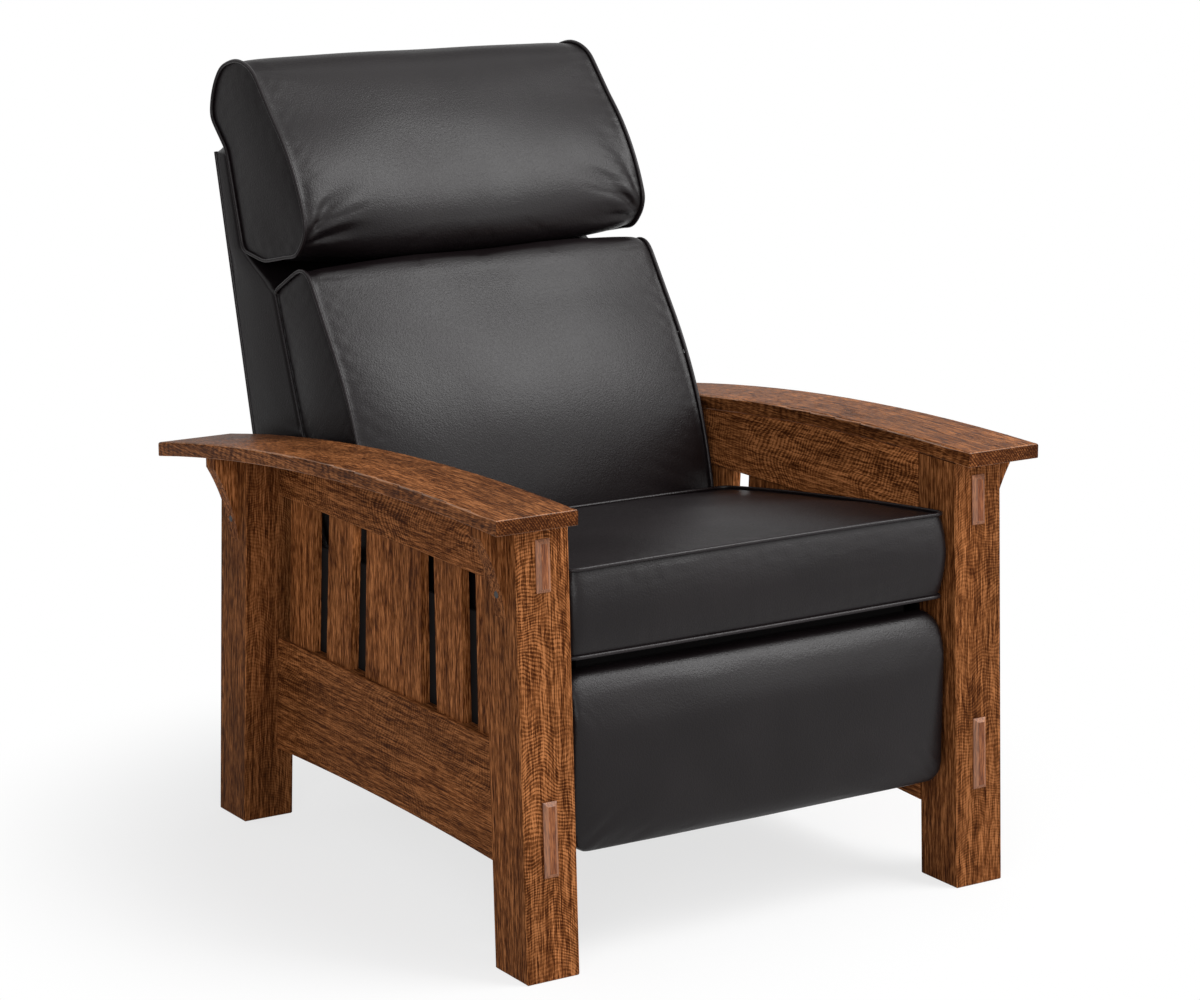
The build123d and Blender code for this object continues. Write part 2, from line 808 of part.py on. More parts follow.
# Footrest pad, crowned towards its middle and hollowed for its board
with BuildPart() as footrest_pad:
    with BuildSketch(front_plane(-footrest_back)):
        with Locations((0, footrest_middle)):
            RectangleRounded(2 * footrest_half, footrest_height, footrest_corner)
    extrude(amount=footrest_front + footrest_crown - footrest_back)
    with BuildSketch(Plane(origin=(0, mid_y, footrest_bottom))):
        with BuildLine():
            left = (-footrest_half, -footrest_front)
            right = (footrest_half, -footrest_front)
            ThreePointArc(left, (0, -footrest_front - footrest_crown), right)
            Polyline(right, (footrest_half, -footrest_back), (-footrest_half, -footrest_back), left)
        make_face()
    extrude(amount=footrest_height, mode=Mode.INTERSECT)
    fillet(footrest_pad.faces().sort_by(Axis.Y)[0].edges(), footrest_round)
    with BuildSketch(front_plane(-footrest_back)):
        with Locations((0, footrest_middle)):
            RectangleRounded(
                board_width + 2 * joint_clearance,
                board_height + 2 * joint_clearance,
                footrest_board_margin + joint_clearance,
            )
    extrude(amount=footrest_board_thickness + joint_clearance, mode=Mode.SUBTRACT)
finish(footrest_pad, "footrest_pad")


def frame_top(y):
    """Height of the seat frame's sloping top edge."""
    share = (y + seat_frame_front) / (seat_frame_rear + seat_frame_front)
    return seat_frame_front_top + share * (seat_frame_rear_top - seat_frame_front_top)


def seat_board_points(before, behind, bottom):
    """Outline of a seat frame board between two places along Y."""
    return (before, bottom), (behind, bottom), (behind, frame_top(behind)), (before, frame_top(before))


# Seat frame boards, standing on the flanges of the seat rails
board_inner = seat_frame_half - seat_board
for name, side in sides:
    with BuildPart() as seat_side_board:
        points = seat_board_points(-seat_frame_front, seat_frame_rear, seat_rail_top)
        prism(side, board_inner, seat_frame_half, *points)
    finish(seat_side_board, f"seat_side_board_{name}")

with BuildPart() as seat_front_board:
    bar(board_inner, *seat_board_points(-seat_frame_front, seat_board - seat_frame_front, seat_rail_top))
finish(seat_front_board, "seat_front_board")

with BuildPart() as seat_rear_board:
    bottom = seat_rail_top - seat_rear_board_drop
    bar(board_inner, *seat_board_points(seat_frame_rear - seat_board, seat_frame_rear, bottom))
finish(seat_rear_board, "seat_rear_board")

# Zigzag seat springs, each one unbroken wire between the front and rear boards
spring_start = seat_board - seat_frame_front + seated_gap
spring_slope = atan2(seat_frame_rear_top - seat_frame_front_top, seat_frame_rear + seat_frame_front)
spring_run = seat_frame_rear - seat_board - seated_gap - spring_start
spring_length = spring_run / cos(spring_slope)
spring_turn = spring_length / (2 * spring_half_turns + 4)


def spring_plane(x):
    """Plane of one spring: local axes along X and along the seat's slope to the rear."""
    origin = (x, mid_y + spring_start, frame_top(spring_start) - spring_wire_radius - seated_gap)
    normal = (0, -sin(spring_slope), cos(spring_slope))
    return Plane(origin=origin, x_dir=(1, 0, 0), z_dir=normal)


with BuildPart() as seat_springs:
    spacing = 2 * board_inner / (spring_count + 1)
    diagonal = spring_turn * sin(radians(quarter_turn / 2))
    for number in range(spring_count):
        with BuildLine(spring_plane(spacing * (number + 1) - board_inner)) as wire:
            along = spring_turn
            Line((0, 0), (0, along))
            first_bend = (diagonal - spring_turn, along + diagonal)
            ThreePointArc((0, along), first_bend, (-spring_turn, along + spring_turn))
            along += spring_turn
            before = -spring_turn
            way = -1
            for turn in range(spring_half_turns):
                bend = way * spring_half_straight
                middle = (bend + way * spring_turn, along + spring_turn)
                Line((before, along), (bend, along))
                ThreePointArc((bend, along), middle, (bend, along + 2 * spring_turn))
                along += 2 * spring_turn
                before = bend
                way = -way
            start = (-way * spring_turn, along)
            last_bend = (way * (diagonal - spring_turn), along + spring_turn - diagonal)
            Line((before, along), start)
            ThreePointArc(start, last_bend, (0, along + spring_turn))
            along += spring_turn
            Line((0, along), (0, along + spring_turn))
        with BuildSketch(Plane(origin=wire.wire() @ 0, z_dir=wire.wire() % 0)):
            Circle(spring_wire_radius)
        sweep(path=wire.wire())
finish(seat_springs, "seat_springs")

# Least gap of a spring's wire to itself, between points further along it than one turn
spring_wire = wire.wire()
sample_step = spring_wire_radius
sample_count = int(spring_wire.length / sample_step)
samples = [spring_wire @ (number / sample_count) for number in range(sample_count)]
skipped = int(pi * spring_turn / sample_step)
spring_gap = min(
    (samples[second] - samples[first]).length
    for first in range(len(samples))
    for second in range(first + skipped, len(samples))
)
print("least gap of a seat spring to itself, mm:", round(spring_gap - 2 * spring_wire_radius, 2))

# Seat cushion: boxed, crowned towards its middle, with a bulging front
with BuildPart() as seat_cushion:
    for x, crown in ((-seat_half, seat_edge_crown), (0, seat_crown), (seat_half, seat_edge_crown)):
        with BuildSketch(side_plane(x)) as section:
            with BuildLine():
                front_low = (-seat_front, frame_top(-seat_front) + seated_gap)
                front_high = (-seat_front, seat_front_top)
                rear_high = (seat_rear, seat_rear_top)
                rear_low = (seat_rear, frame_top(seat_rear) + seated_gap)
                nose = (-seat_front - seat_bulge, (front_low[1] + front_high[1]) / 2)
                chord = front_high[1] + seat_crown_share * (rear_high[1] - front_high[1])
                place = front_high[0] + seat_crown_share * (rear_high[0] - front_high[0])
                ThreePointArc(front_low, nose, front_high)
                ThreePointArc(front_high, (place, chord + crown), rear_high)
                Polyline(rear_high, rear_low, front_low)
            make_face()
            fillet(section.vertices(), seat_round)
    loft()
finish(seat_cushion, "seat_cushion")


def back_points(drop=0):
    """Outline of the back cover, with its open foot lowered to cut through."""
    rear_slope = (back_top_rear[0] - back_bottom_rear[0]) / (back_top_rear[1] - back_bottom_rear[1])
    front_slope = (back_lumbar[0] - back_bottom_front[0]) / (back_lumbar[1] - back_bottom_front[1])
    return (
        (back_bottom_rear[0] - rear_slope * drop, back_bottom_rear[1] - drop),
        back_top_rear,
        back_top_front,
        back_neck,
        back_shoulder,
        back_lumbar,
        (back_bottom_front[0] - front_slope * drop, back_bottom_front[1] - drop),
    )


# Back cover: a padded shell, open at its foot
with BuildPart() as back_cover:
    with BuildSketch(side_plane(-back_half)):
        Polygon(*back_points(), align=None)
    extrude(amount=2 * back_half)
    rim = back_cover.faces().filter_by(Axis.X).edges()
    foot = back_cover.faces().sort_by(Axis.Z)[0].edges()
    fillet(rim - foot, back_round)
    inner_half = back_half - back_skin
    with BuildSketch(side_plane(-inner_half)):
        Polygon(*back_points(overrun), align=None)
        offset(amount=-back_skin, kind=Kind.INTERSECTION, mode=Mode.REPLACE)
    extrude(amount=2 * inner_half, mode=Mode.SUBTRACT)
finish(back_cover, "back_cover")

# Side panels inside the cover
panel_outer = back_half - back_skin - seated_gap - plate_thickness
panel_inner = panel_outer - back_panel_thickness
for name, side in sides:
    with BuildPart() as back_panel:
        with BuildSketch(slab(side, panel_inner, panel_outer)):
            Polygon(*back_points(), align=None)
            offset(amount=-back_skin - seated_gap, kind=Kind.INTERSECTION, mode=Mode.REPLACE)
            with Locations((back_shoulder[0], back_panel_foot)):
                Rectangle(frame_width, frame_width, align=(Align.CENTER, Align.MIN), mode=Mode.INTERSECT)
        extrude(amount=back_panel_thickness)
    finish(back_panel, f"back_panel_{name}")

# Cross rails between the side panels, along the rear of the back
back_lean = atan2(back_top_rear[0] - back_bottom_rear[0], back_top_rear[1] - back_bottom_rear[1])
for end, share in back_rail_place_shares.items():
    height = back_bottom_rear[1] + share * (back_top_rear[1] - back_bottom_rear[1])
    with BuildPart() as back_rail:
        with BuildSketch(side_plane(-panel_inner)):
            rear_edge = back_bottom_rear[0] + tan(back_lean) * (height - back_bottom_rear[1])
            inset = (back_skin + seated_gap + back_rail_thickness / 2) / cos(back_lean)
            with Locations((rear_edge - inset, height)):
                Rectangle(back_rail_thickness, back_rail_height, rotation=-degrees(back_lean))
        extrude(amount=2 * panel_inner)
    finish(back_rail, f"back_rail_{end}")


cover_slope = (back_lumbar[0] - back_bottom_front[0]) / (back_lumbar[1] - back_bottom_front[1])


def cover_face(z):
    """Place along Y of the cover's outer face at the front, below the lumbar point."""
    return back_bottom_front[0] + cover_slope * (z - back_bottom_front[1])


def cover_front(z):
    """Place along Y of the cover's inner face at the front, below the lumbar point."""
    return cover_face(z) + back_skin * hypot(1, cover_slope)


# Steel brackets that carry the back on its pivots
for name, side in sides:
    with BuildPart() as back_bracket:
        bracket_inner = panel_outer
        bracket_outer = panel_outer + plate_thickness
        with BuildSketch(slab(side, bracket_inner, bracket_outer)):
            foot_z = back_bottom_front[1]
            eye_top = back_pivot[1] + bracket_eye
            Polygon(
                (back_pivot[0], back_pivot[1] - bracket_eye),
                (cover_front(foot_z) + bracket_width - bracket_eye, back_pivot[1] - bracket_eye),
                (cover_front(bracket_top) + bracket_clear + bracket_width, bracket_top),
                (cover_front(bracket_top) + bracket_clear, bracket_top),
                (cover_front(foot_z) + bracket_clear, foot_z),
                (cover_front(foot_z) + bracket_clear - bracket_eye / 2, eye_top),
                (back_pivot[0], eye_top),
                align=None,
            )
            with Locations(back_pivot):
                Circle(bracket_eye)
        extrude(amount=plate_thickness)
        stud(side, back_pivot, bracket_outer, rail_layer + plate_thickness + stud_end, back_pivot_radius)
        stud(side, back_pivot, bracket_outer, rail_layer - stud_end, 2 * back_pivot_radius)
    finish(back_bracket, f"back_bracket_{name}")


def pushed(point, crown, lean=lumbar_face_angle):
    """Point of a cushion's face moved out by its crown, square to the face."""
    return (point[0] - crown * cos(radians(lean)), point[1] + crown * sin(radians(lean)))


# Lumbar cushion, which leans on the front of the cover
with BuildPart() as lumbar_cushion:
    for x, share in ((-lumbar_half, 0), (0, 1), (lumbar_half, 0)):
        with BuildSketch(side_plane(x)) as section:
            with BuildLine():
                foot = lumbar_foot
                belly = pushed(lumbar_belly, share * lumbar_crown)
                brow = pushed(lumbar_brow, share * lumbar_brow_crown)
                top_front = pushed(lumbar_top_front, share * lumbar_top_crown)
                top_middle = (lumbar_top_middle[0], lumbar_top_middle[1] + share * lumbar_top_crown)
                shoulder = (back_shoulder[0] - 2 * seated_gap, back_shoulder[1])
                waist = (back_lumbar[0] - 2 * seated_gap, back_lumbar[1])
                heel = (cover_face(lumbar_foot[1]) - 2 * seated_gap, lumbar_foot[1])
                ThreePointArc(foot, belly, brow)
                Line(brow, top_front)
                ThreePointArc(top_front, top_middle, lumbar_top_rear)
                Polyline(lumbar_top_rear, shoulder, waist, heel, foot)
            make_face()
    loft()
finish(lumbar_cushion, "lumbar_cushion")


def swelled(point, share):
    """Point of the pillow moved away from its centre by its crown."""
    away = hypot(point[0] - pillow_centre[0], point[1] - pillow_centre[1])
    step = share * pillow_crown / away
    return tuple(value + step * (value - middle) for value, middle in zip(point, pillow_centre))


# Head pillow, over the top of the back
with BuildPart() as head_pillow:
    for x, share in ((-pillow_half, 0), (0, 1), (pillow_half, 0)):
        with BuildSketch(side_plane(x)):
            with BuildLine():
                foot = swelled(pillow_foot, share)
                nose = swelled(pillow_nose, share)
                brow = swelled(pillow_brow, share)
                front = swelled(pillow_front, share)
                back = swelled(pillow_back, share)
                heel = (pillow_rear, pillow_heel_height)
                hook = (back_top_front[0], back_top_front[1] + 2 * seated_gap)
                neck = (back_neck[0] - 2 * seated_gap, back_neck[1] + seated_gap)
                ThreePointArc(foot, swelled(pillow_chin, share), nose)
                ThreePointArc(nose, swelled(pillow_face, share), brow)
                Line(brow, front)
                ThreePointArc(front, swelled(pillow_crest, share), back)
                ThreePointArc(back, swelled(pillow_nape, share * pillow_nape_share), heel)
                Polyline(heel, hook, neck, pillow_under, foot)
            make_face()
    loft()
finish(head_pillow, "head_pillow")
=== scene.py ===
"""Mission reclining armchair: quartersawn oak, black leather cushions and a steel recliner
mechanism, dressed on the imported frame."""

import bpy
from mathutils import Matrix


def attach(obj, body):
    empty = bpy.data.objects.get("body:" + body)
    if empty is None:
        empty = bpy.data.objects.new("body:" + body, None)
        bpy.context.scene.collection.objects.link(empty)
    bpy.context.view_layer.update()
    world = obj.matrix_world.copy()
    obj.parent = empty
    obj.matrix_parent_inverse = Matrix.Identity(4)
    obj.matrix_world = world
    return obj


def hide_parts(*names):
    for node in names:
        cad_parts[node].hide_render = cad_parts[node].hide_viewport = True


bl_info = {
    "name": "Mission Reclining Armchair",
    "version": (1, 0, 0),
    "blender": (4, 5, 0),
    "location": "3D View > Sidebar > Armchair",
    "description": "Stained oak, leather cushions with piping, and a studio for a mission recliner",
    "category": "Object",
}

import math

import bpy
import numpy as np
from bpy.props import FloatProperty, FloatVectorProperty, IntProperty, PointerProperty
from mathutils import Vector

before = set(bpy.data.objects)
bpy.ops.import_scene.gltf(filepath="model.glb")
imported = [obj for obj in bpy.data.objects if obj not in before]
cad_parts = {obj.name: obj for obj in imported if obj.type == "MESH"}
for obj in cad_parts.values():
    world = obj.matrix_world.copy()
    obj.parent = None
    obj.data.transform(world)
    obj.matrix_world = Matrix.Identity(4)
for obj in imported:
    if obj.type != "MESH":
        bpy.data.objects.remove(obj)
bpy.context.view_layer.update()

SIDEWAYS = (1.0, 0.0, 0.0)
UP = (0.0, 0.0, 1.0)
SIDES = {"left": -1, "right": 1}
# Degrees by which the posts lean along Y
FRONT_RAKE, REAR_RAKE = 2.6, -3.5
RED_STAIN = (0.18, 0.054, 0.026)
# Pale colour that the oak's eased edges are blended towards: painted highlight, where the rounded
# arrises catch the light
EDGE_HIGHLIGHT_COLOUR = (0.66, 0.50, 0.40)
FRAME_WOOD = (0.56, 0.40, 0.23)
# How far the piping's middle stands outside its seam
PIPING_STAND = 0.0009
# Where the photograph was taken from, worked out from the chair's straight edges
CAMERA_PLACE = (-2.45428, -3.91709, 1.52752)
CAMERA_TURN = (math.pi / 2 - 0.224, 0.0, -0.570)
# Powers of the two weak lamps, in watts
LOW_POWER, TOP_POWER = 14.0, 10.0
# Places along Y below are measured from the middle of the feet, which is here in the frame
FEET_MIDDLE = -0.084
# Top of the seat's frame at its front and rear, and corners of the two loose cushions' profiles
SEAT_FRAME_LINE = ((-0.350, 0.3953), (0.118, 0.3663))
LUMBAR_CORNERS = {
    "foot": (0.128, 0.402),
    "belly": (0.172, 0.575),
    "brow": (0.248, 0.706),
    "top_front": (0.302, 0.782),
    "top_middle": (0.318, 0.788),
    "top_rear": (0.336, 0.784),
    "shoulder": (0.4044, 0.747),
    "waist": (0.3304, 0.560),
    "heel": (0.2672, 0.402),
}
PILLOW_CORNERS = {
    "foot": (0.362, 0.803),
    "chin": (0.321, 0.823),
    "nose": (0.310, 0.852),
    "face": (0.337, 0.911),
    "brow": (0.403, 0.991),
    "front": (0.456, 1.048),
    "crest": (0.508, 1.064),
    "back": (0.556, 1.050),
    "nape": (0.5839, 1.0171),
    "heel": (0.594, 0.975),
    "hook": (0.548, 0.9326),
    "neck": (0.5024, 0.7943),
    "under": (0.438, 0.787),
}
# Front and rear of the back's cover at each height
COVER_HEIGHTS = (0.330, 0.560, 0.747, 0.794, 0.932)
COVER_FRONTS = (0.240, 0.331, 0.405, 0.503, 0.548)
COVER_REARS = (0.432, 0.4914, 0.5397, 0.5519, 0.5875)


# Settings that a user would change


class OakSettings(bpy.types.PropertyGroup):
    """Colours and finish of the oak."""

    light: FloatVectorProperty(
        name="Light Grain", description="Colour of the hard late wood", subtype="COLOR",
        default=(0.430, 0.165, 0.058), min=0, max=1,
    )
    middle: FloatVectorProperty(
        name="Stain", description="Colour of the stained wood between the lines", subtype="COLOR",
        default=(0.172, 0.057, 0.0170), min=0, max=1,
    )
    dark: FloatVectorProperty(
        name="Dark Grain", description="Colour of the open early wood, where the stain collects",
        subtype="COLOR", default=(0.044, 0.0120, 0.0036), min=0, max=1,
    )
    ring_spacing: FloatProperty(
        name="Ring Spacing", description="Mean width of a year's growth", unit="LENGTH",
        default=0.0034, min=0.001, max=0.02,
    )


class LeatherSettings(bpy.types.PropertyGroup):
    """Colour, grain and trim of the leather."""

    colour: FloatVectorProperty(
        name="Leather", description="Colour of the leather", subtype="COLOR",
        default=(0.0052, 0.0036, 0.0040), min=0, max=1,
    )
    pebble: FloatProperty(
        name="Grain Size", description="Width of one pebble of the grain", unit="LENGTH",
        default=0.0021, min=0.0005, max=0.01,
    )
    piping_radius: FloatProperty(
        name="Piping Radius", description="Radius of the piping in the seams", unit="LENGTH",
        default=0.0029, min=0.001, max=0.006,
    )


class CushionSettings(bpy.types.PropertyGroup):
    """How the cushions are stuffed."""

    pressure: FloatProperty(
        name="Stuffing", description="Pressure that fills the cushions out",
        default=4.0, min=0, max=20,
    )
    voxel: FloatProperty(
        name="Cloth Cell", description="Size of a cell of the simulated covers", unit="LENGTH",
        default=0.0055, min=0.004, max=0.02,
    )
    frames: IntProperty(
        name="Settling Frames", description="Frames for which the covers settle",
        default=20, min=2, max=60,
    )


class StudioSettings(bpy.types.PropertyGroup):
    """Lamps, backdrop and camera."""

    world_light: FloatProperty(
        name="Room Light", description="Strength of the light from all round",
        default=0.34, min=0, max=3,
    )
    key_power: FloatProperty(
        name="Key Lamp", description="Power of the large front lamp", subtype="POWER",
        default=210.0, min=0, max=2000,
    )
    fill_power: FloatProperty(
        name="Fill Lamp", description="Power of the lamp on the left of the camera",
        subtype="POWER", default=68.0, min=0, max=2000,
    )
    lens: FloatProperty(
        name="Lens", description="Focal length of the camera, in millimetres",
        default=102.4426, min=10, max=500,
    )


# Nodes


def both_ways(operation):
    """The plain and the reflected form of an operator that adds one Math node."""

    def plain(self, other):
        return self.maths(operation, self, other)

    def reflected(self, other):
        return self.maths(operation, other, self)

    return plain, reflected


class Tap:
    """An output socket of a finish. Operators on it add Math nodes."""

    def __init__(self, finish, socket):
        self.finish = finish
        self.socket = socket

    def maths(self, operation, *values):
        return self.finish.add("ShaderNodeMath", {"operation": operation}, dict(enumerate(values)))

    __add__, __radd__ = both_ways("ADD")
    __sub__, __rsub__ = both_ways("SUBTRACT")
    __mul__, __rmul__ = both_ways("MULTIPLY")
    __truediv__, __rtruediv__ = both_ways("DIVIDE")
    __mod__, __rmod__ = both_ways("FLOORED_MODULO")
    least = both_ways("MINIMUM")[0]
    most = both_ways("MAXIMUM")[0]

    def __abs__(self):
        return self.maths("ABSOLUTE", self)

    def root(self):
        return self.maths("SQRT", self)

    def sine(self):
        return self.maths("SINE", self)

    def step(self, low, high):
        """Rises smoothly from 0 at low to 1 at high, or falls where low is above high."""
        settings = {"interpolation_type": "SMOOTHSTEP"}
        inputs = {"Value": self, "From Min": low, "From Max": high, "To Min": 0.0, "To Max": 1.0}
        if low > high:
            inputs.update({"From Min": high, "From Max": low, "To Min": 1.0, "To Max": 0.0})
        return self.finish.add("ShaderNodeMapRange", settings, inputs)


class Finish:
    """The nodes of a new material, or of a world, while they are being put together."""

    def __init__(self, name, world=None):
        self.owner = world or bpy.data.materials.new(name)
        self.owner.use_nodes = True
        self.tree = self.owner.node_tree
        self.tree.nodes.clear()

    def add(self, kind, settings=None, inputs=None, output=0):
        """Adds one node: its settings first, then the values or links of its sockets."""
        node = self.tree.nodes.new(kind)
        for key, value in (settings or {}).items():
            setattr(node, key, value)
        for key, value in (inputs or {}).items():
            if isinstance(value, Tap):
                self.tree.links.new(value.socket, node.inputs[key])
            else:
                node.inputs[key].default_value = value
        return Tap(self, node.outputs[output])

    def place(self, output="Object"):
        return self.add("ShaderNodeTexCoord", output=output)

    def parts(self, vector):
        """The three components of a vector."""
        first = self.add("ShaderNodeSeparateXYZ", inputs={0: vector})
        return [Tap(self, socket) for socket in first.socket.node.outputs]

    def join(self, x, y, z):
        return self.add("ShaderNodeCombineXYZ", inputs={0: x, 1: y, 2: z})

    def noise(self, vector, scale, detail=2.0, roughness=0.5, distortion=0.0, output="Fac"):
        inputs = {
            "Vector": vector, "Scale": scale, "Detail": detail,
            "Roughness": roughness, "Distortion": distortion,
        }
        return self.add("ShaderNodeTexNoise", inputs=inputs, output=output)

    def blend(self, share, first, second):
        """A colour between two others."""
        first = (*first, 1.0) if isinstance(first, tuple) else first
        second = (*second, 1.0) if isinstance(second, tuple) else second
        mixed = {0: share, 6: first, 7: second}
        return self.add("ShaderNodeMix", {"data_type": "RGBA"}, mixed, output=2)

    def shade(self, colour, factor):
        """A colour made darker or lighter by a value."""
        scaled = {0: colour, "Scale": factor}
        return self.add("ShaderNodeVectorMath", {"operation": "SCALE"}, scaled)

    def bump(self, height, distance, strength=1.0):
        inputs = {"Height": height, "Distance": distance, "Strength": strength}
        return self.add("ShaderNodeBump", inputs=inputs, output="Normal")

    def principled(self, **sockets):
        """A Principled BSDF; names take underscores for spaces."""
        inputs = {key.replace("_", " "): value for key, value in sockets.items()}
        return self.add("ShaderNodeBsdfPrincipled", inputs=inputs)

    def close(self, **sockets):
        """Ends the finish in a Principled BSDF."""
        return self.end(self.principled(**sockets))

    def seen(self):
        """One for what the camera sees directly, in gloss or through glass, or else nought."""
        camera, glossy, transmission = (
            self.add("ShaderNodeLightPath", output=f"Is {kind} Ray")
            for kind in ("Camera", "Glossy", "Transmission")
        )
        return camera.most(glossy).most(transmission)

    def mixed(self, share, first, second):
        return self.add("ShaderNodeMixShader", inputs={0: share, 1: first, 2: second})

    def end(self, shader):
        """Gives the shader to the output and returns the material or the world."""
        kind = "World" if isinstance(self.owner, bpy.types.World) else "Material"
        node = self.tree.nodes.new("ShaderNodeOutput" + kind)
        self.tree.links.new(shader.socket, node.inputs["Surface"])
        return self.owner


def stained_oak(
    name, grain, pith, tone=1.0, rake=0.0, flecks=None, arcs=None, red=0.0, sheen=0.012, wear_and_edge_highlight=0.0,
):
    """Oak as a solid: rings about a pith line that wanders along the grain, pores where the early
    wood is open, and fibres. Flecks are the pale rays of a quartersawn face and arcs the dark
    lines of a flat-sawn one: each is an axis, a strength, a pitch, a bend and a middle line."""
    oak = bpy.context.scene.armchair_oak
    work = Finish(name)
    x, y, z = work.parts(work.place())
    facing = {axis: abs(part) for axis, part in zip("XYZ", work.parts(work.place("Normal")))}
    if rake:
        y = y - z * math.tan(math.radians(rake))
    across, through, along = {"X": (y, z, x), "Y": (x, z, y), "Z": (x, y, z)}[grain]

    squeeze = {"X": (1.0, 1.0), "Y": (0.62, 1.0), "Z": (1.0, 0.60)}[grain]

    def field(wide, long, detail=2.0, roughness=0.5):
        spot = work.join(across * (wide * squeeze[0]), through * (wide * squeeze[1]), along * long)
        return work.noise(spot, 1.0, detail=detail, roughness=roughness)

    wander = work.join(across * 5.0, through * 5.0, along * 1.8)
    drift = work.parts(work.noise(wander, 1.0, detail=2.0, roughness=0.45, output="Color"))
    offset_across = across - pith[0] + (drift[0] - 0.5) * 0.050
    offset_through = through - pith[1] + (drift[1] - 0.5) * 0.050
    radius = (offset_across * offset_across + offset_through * offset_through).root()
    uneven = work.noise(work.join(radius * 90.0, along * 1.2, 0.0), 1.0)
    growth = radius / oak.ring_spacing + uneven * 2.6
    ring = growth % 1.0
    early = (ring.step(0.34, 0.02) + ring.step(0.94, 1.0) * 0.7).least(1.0)
    fibre = field(460.0, 15.0, 3.0, 0.6).step(0.32, 0.68)
    fine = field(950.0, 55.0, 2.0, 0.6).step(0.34, 0.66)
    streak = field(120.0, 3.0, 2.0).step(0.36, 0.64)
    patch = field(16.0, 3.0)
    pores = field(760.0, 85.0, 1.0).step(0.53, 0.62) * (early * 0.7 + 0.3).least(1.0)
    broken = field(60.0, 14.0).step(0.30, 0.62)
    value = 0.53 + (fibre - 0.5) * 0.54 + (fine - 0.5) * 0.70 + (streak - 0.5) * 0.24
    value = value - early * (broken * 0.16 + 0.04) - pores * 0.28
    for figure, sign, level in ((flecks, 1.0, 0.42), (arcs, -1.0, 0.12)):
        if not figure:
            continue
        axis, strength, pitch, bend, centre = figure
        lateral = {"X": (y, z), "Y": (x, z), "Z": (x, y)}[axis]
        side = abs(lateral[0] if grain == "Z" else lateral[1]) - centre
        swerve = work.noise(work.join(side * 11.0, along * 5.0, 0.3), 1.0) - 0.5
        curve = side * side * bend + swerve * 0.11
        phase = (along + curve) / pitch
        torn = work.join(side * 75.0, phase * 0.70, 0.7)
        rough = work.noise(torn, 1.0, detail=3.0, roughness=0.65)
        wave = (phase * (2 * math.pi)).sine() * 0.5 + rough * 3.2 - 1.6
        short = work.join(side * 330.0, along * 170.0, 0.4)
        dash = work.noise(short, 1.0, detail=1.0).step(0.38, 0.58)
        region = work.noise(work.join(side * 10.0, along * 6.0, 0.1), 1.0).step(0.36, 0.56)
        mask = facing[axis].step(0.55, 0.85) * (region * 0.75 + 0.25) * (strength * sign)
        value = value + (wave.step(-0.30, 0.40) - level) * (dash * 0.5 + 0.5) * mask
    ends = facing[grain].step(0.6, 0.9)
    slant = across * 0.8 + through * 0.6 + (drift[2] - 0.5) * 0.05
    hatch = (slant * (2 * math.pi / oak.ring_spacing)).sine()
    value = value + ends * (hatch * 0.24 - 0.42)
    # Painted highlight: the value rises where the normal lies between the axes, on the eased edges
    flat = facing["X"].most(facing["Y"]).most(facing["Z"])
    value = value + flat.step(0.94, 0.82) * 0.20
    colour = work.blend(value.step(-0.10, 0.52), tuple(oak.dark), tuple(oak.middle))
    colour = work.blend(value.step(0.46, 1.06), colour, tuple(oak.light))
    if red:
        colour = work.blend(red, colour, RED_STAIN)
    colour = work.shade(colour, (1.0 + (patch - 0.5) * 1.2) * tone)
    # Painted highlight: the eased edges are blended towards a pale colour, by the strength given
    # for the piece
    if wear_and_edge_highlight:
        colour = work.blend(flat.step(0.86, 0.76) * wear_and_edge_highlight, colour, EDGE_HIGHLIGHT_COLOUR)
    relief = fibre * 0.25 + fine * 0.15 - pores * 0.6 - early * 0.15
    return work.close(
        Base_Color=colour,
        Roughness=0.40 + fine * 0.10 + pores * 0.15,
        Normal=work.bump(relief, 0.00022, 0.8),
        Specular_IOR_Level=sheen,
    )


def pebbled_leather(name, tone=1.0, mottle=0.0010, gloss=0.0):
    """Leather: pebbles of uneven size with finer pores, over slow dips and swells of the hide. Its
    reflection is weaker on the side panels and the tops, which darkens them: painted shade."""
    settings = bpy.context.scene.armchair_leather
    work = Finish(name)
    place = work.place()
    wobble = work.noise(place, 210.0, detail=2.0, output="Color")
    moved = work.add(
        "ShaderNodeMix", {"data_type": "VECTOR"}, {0: 0.0022, 4: place, 5: wobble}, output=1,
    )
    cells = work.add(
        "ShaderNodeTexVoronoi", {"feature": "SMOOTH_F1"},
        {"Vector": moved, "Scale": 1.0 / settings.pebble, "Smoothness": 0.6}, output="Distance",
    )
    fine = work.noise(place, 2600.0, detail=2.0)
    broad = work.noise(place, 8.0, detail=2.0, roughness=0.45)
    medium = work.noise(place, 46.0, detail=2.0)
    colour = tuple(tone * value for value in settings.colour)
    wear_and_edge_highlight = tuple(1.55 * value + 0.002 for value in colour)
    tint = work.blend(broad.step(0.35, 0.75) * 0.5 + cells.step(0.30, 0.05) * 0.18, colour, wear_and_edge_highlight)
    speck = work.noise(place, 330.0, detail=2.0, roughness=0.6)
    grain = work.bump(cells * -1.0 + fine * 0.22 + speck * 1.4, 0.00018, 0.80)
    swells = {"Height": broad + medium * 0.10, "Distance": mottle, "Normal": grain}
    slow = work.add("ShaderNodeBump", inputs=swells, output="Normal")
    roughness = 0.28 - gloss + broad * 0.14 + cells * 0.06 + (speck - 0.5) * 0.16
    # A shiny and a dull copy of the leather; the dull one, on the sides and the tops, is painted
    # shade
    shiny, dull = (
        work.principled(Base_Color=tint, Roughness=roughness, Normal=slow, Specular_IOR_Level=level)
        for level in (0.215, 0.05)
    )
    side, _, up = work.parts(work.place("Normal"))
    share = abs(side).step(0.78, 0.95).most(up.step(0.80, 0.97))
    return work.end(work.mixed(share, shiny, dull))


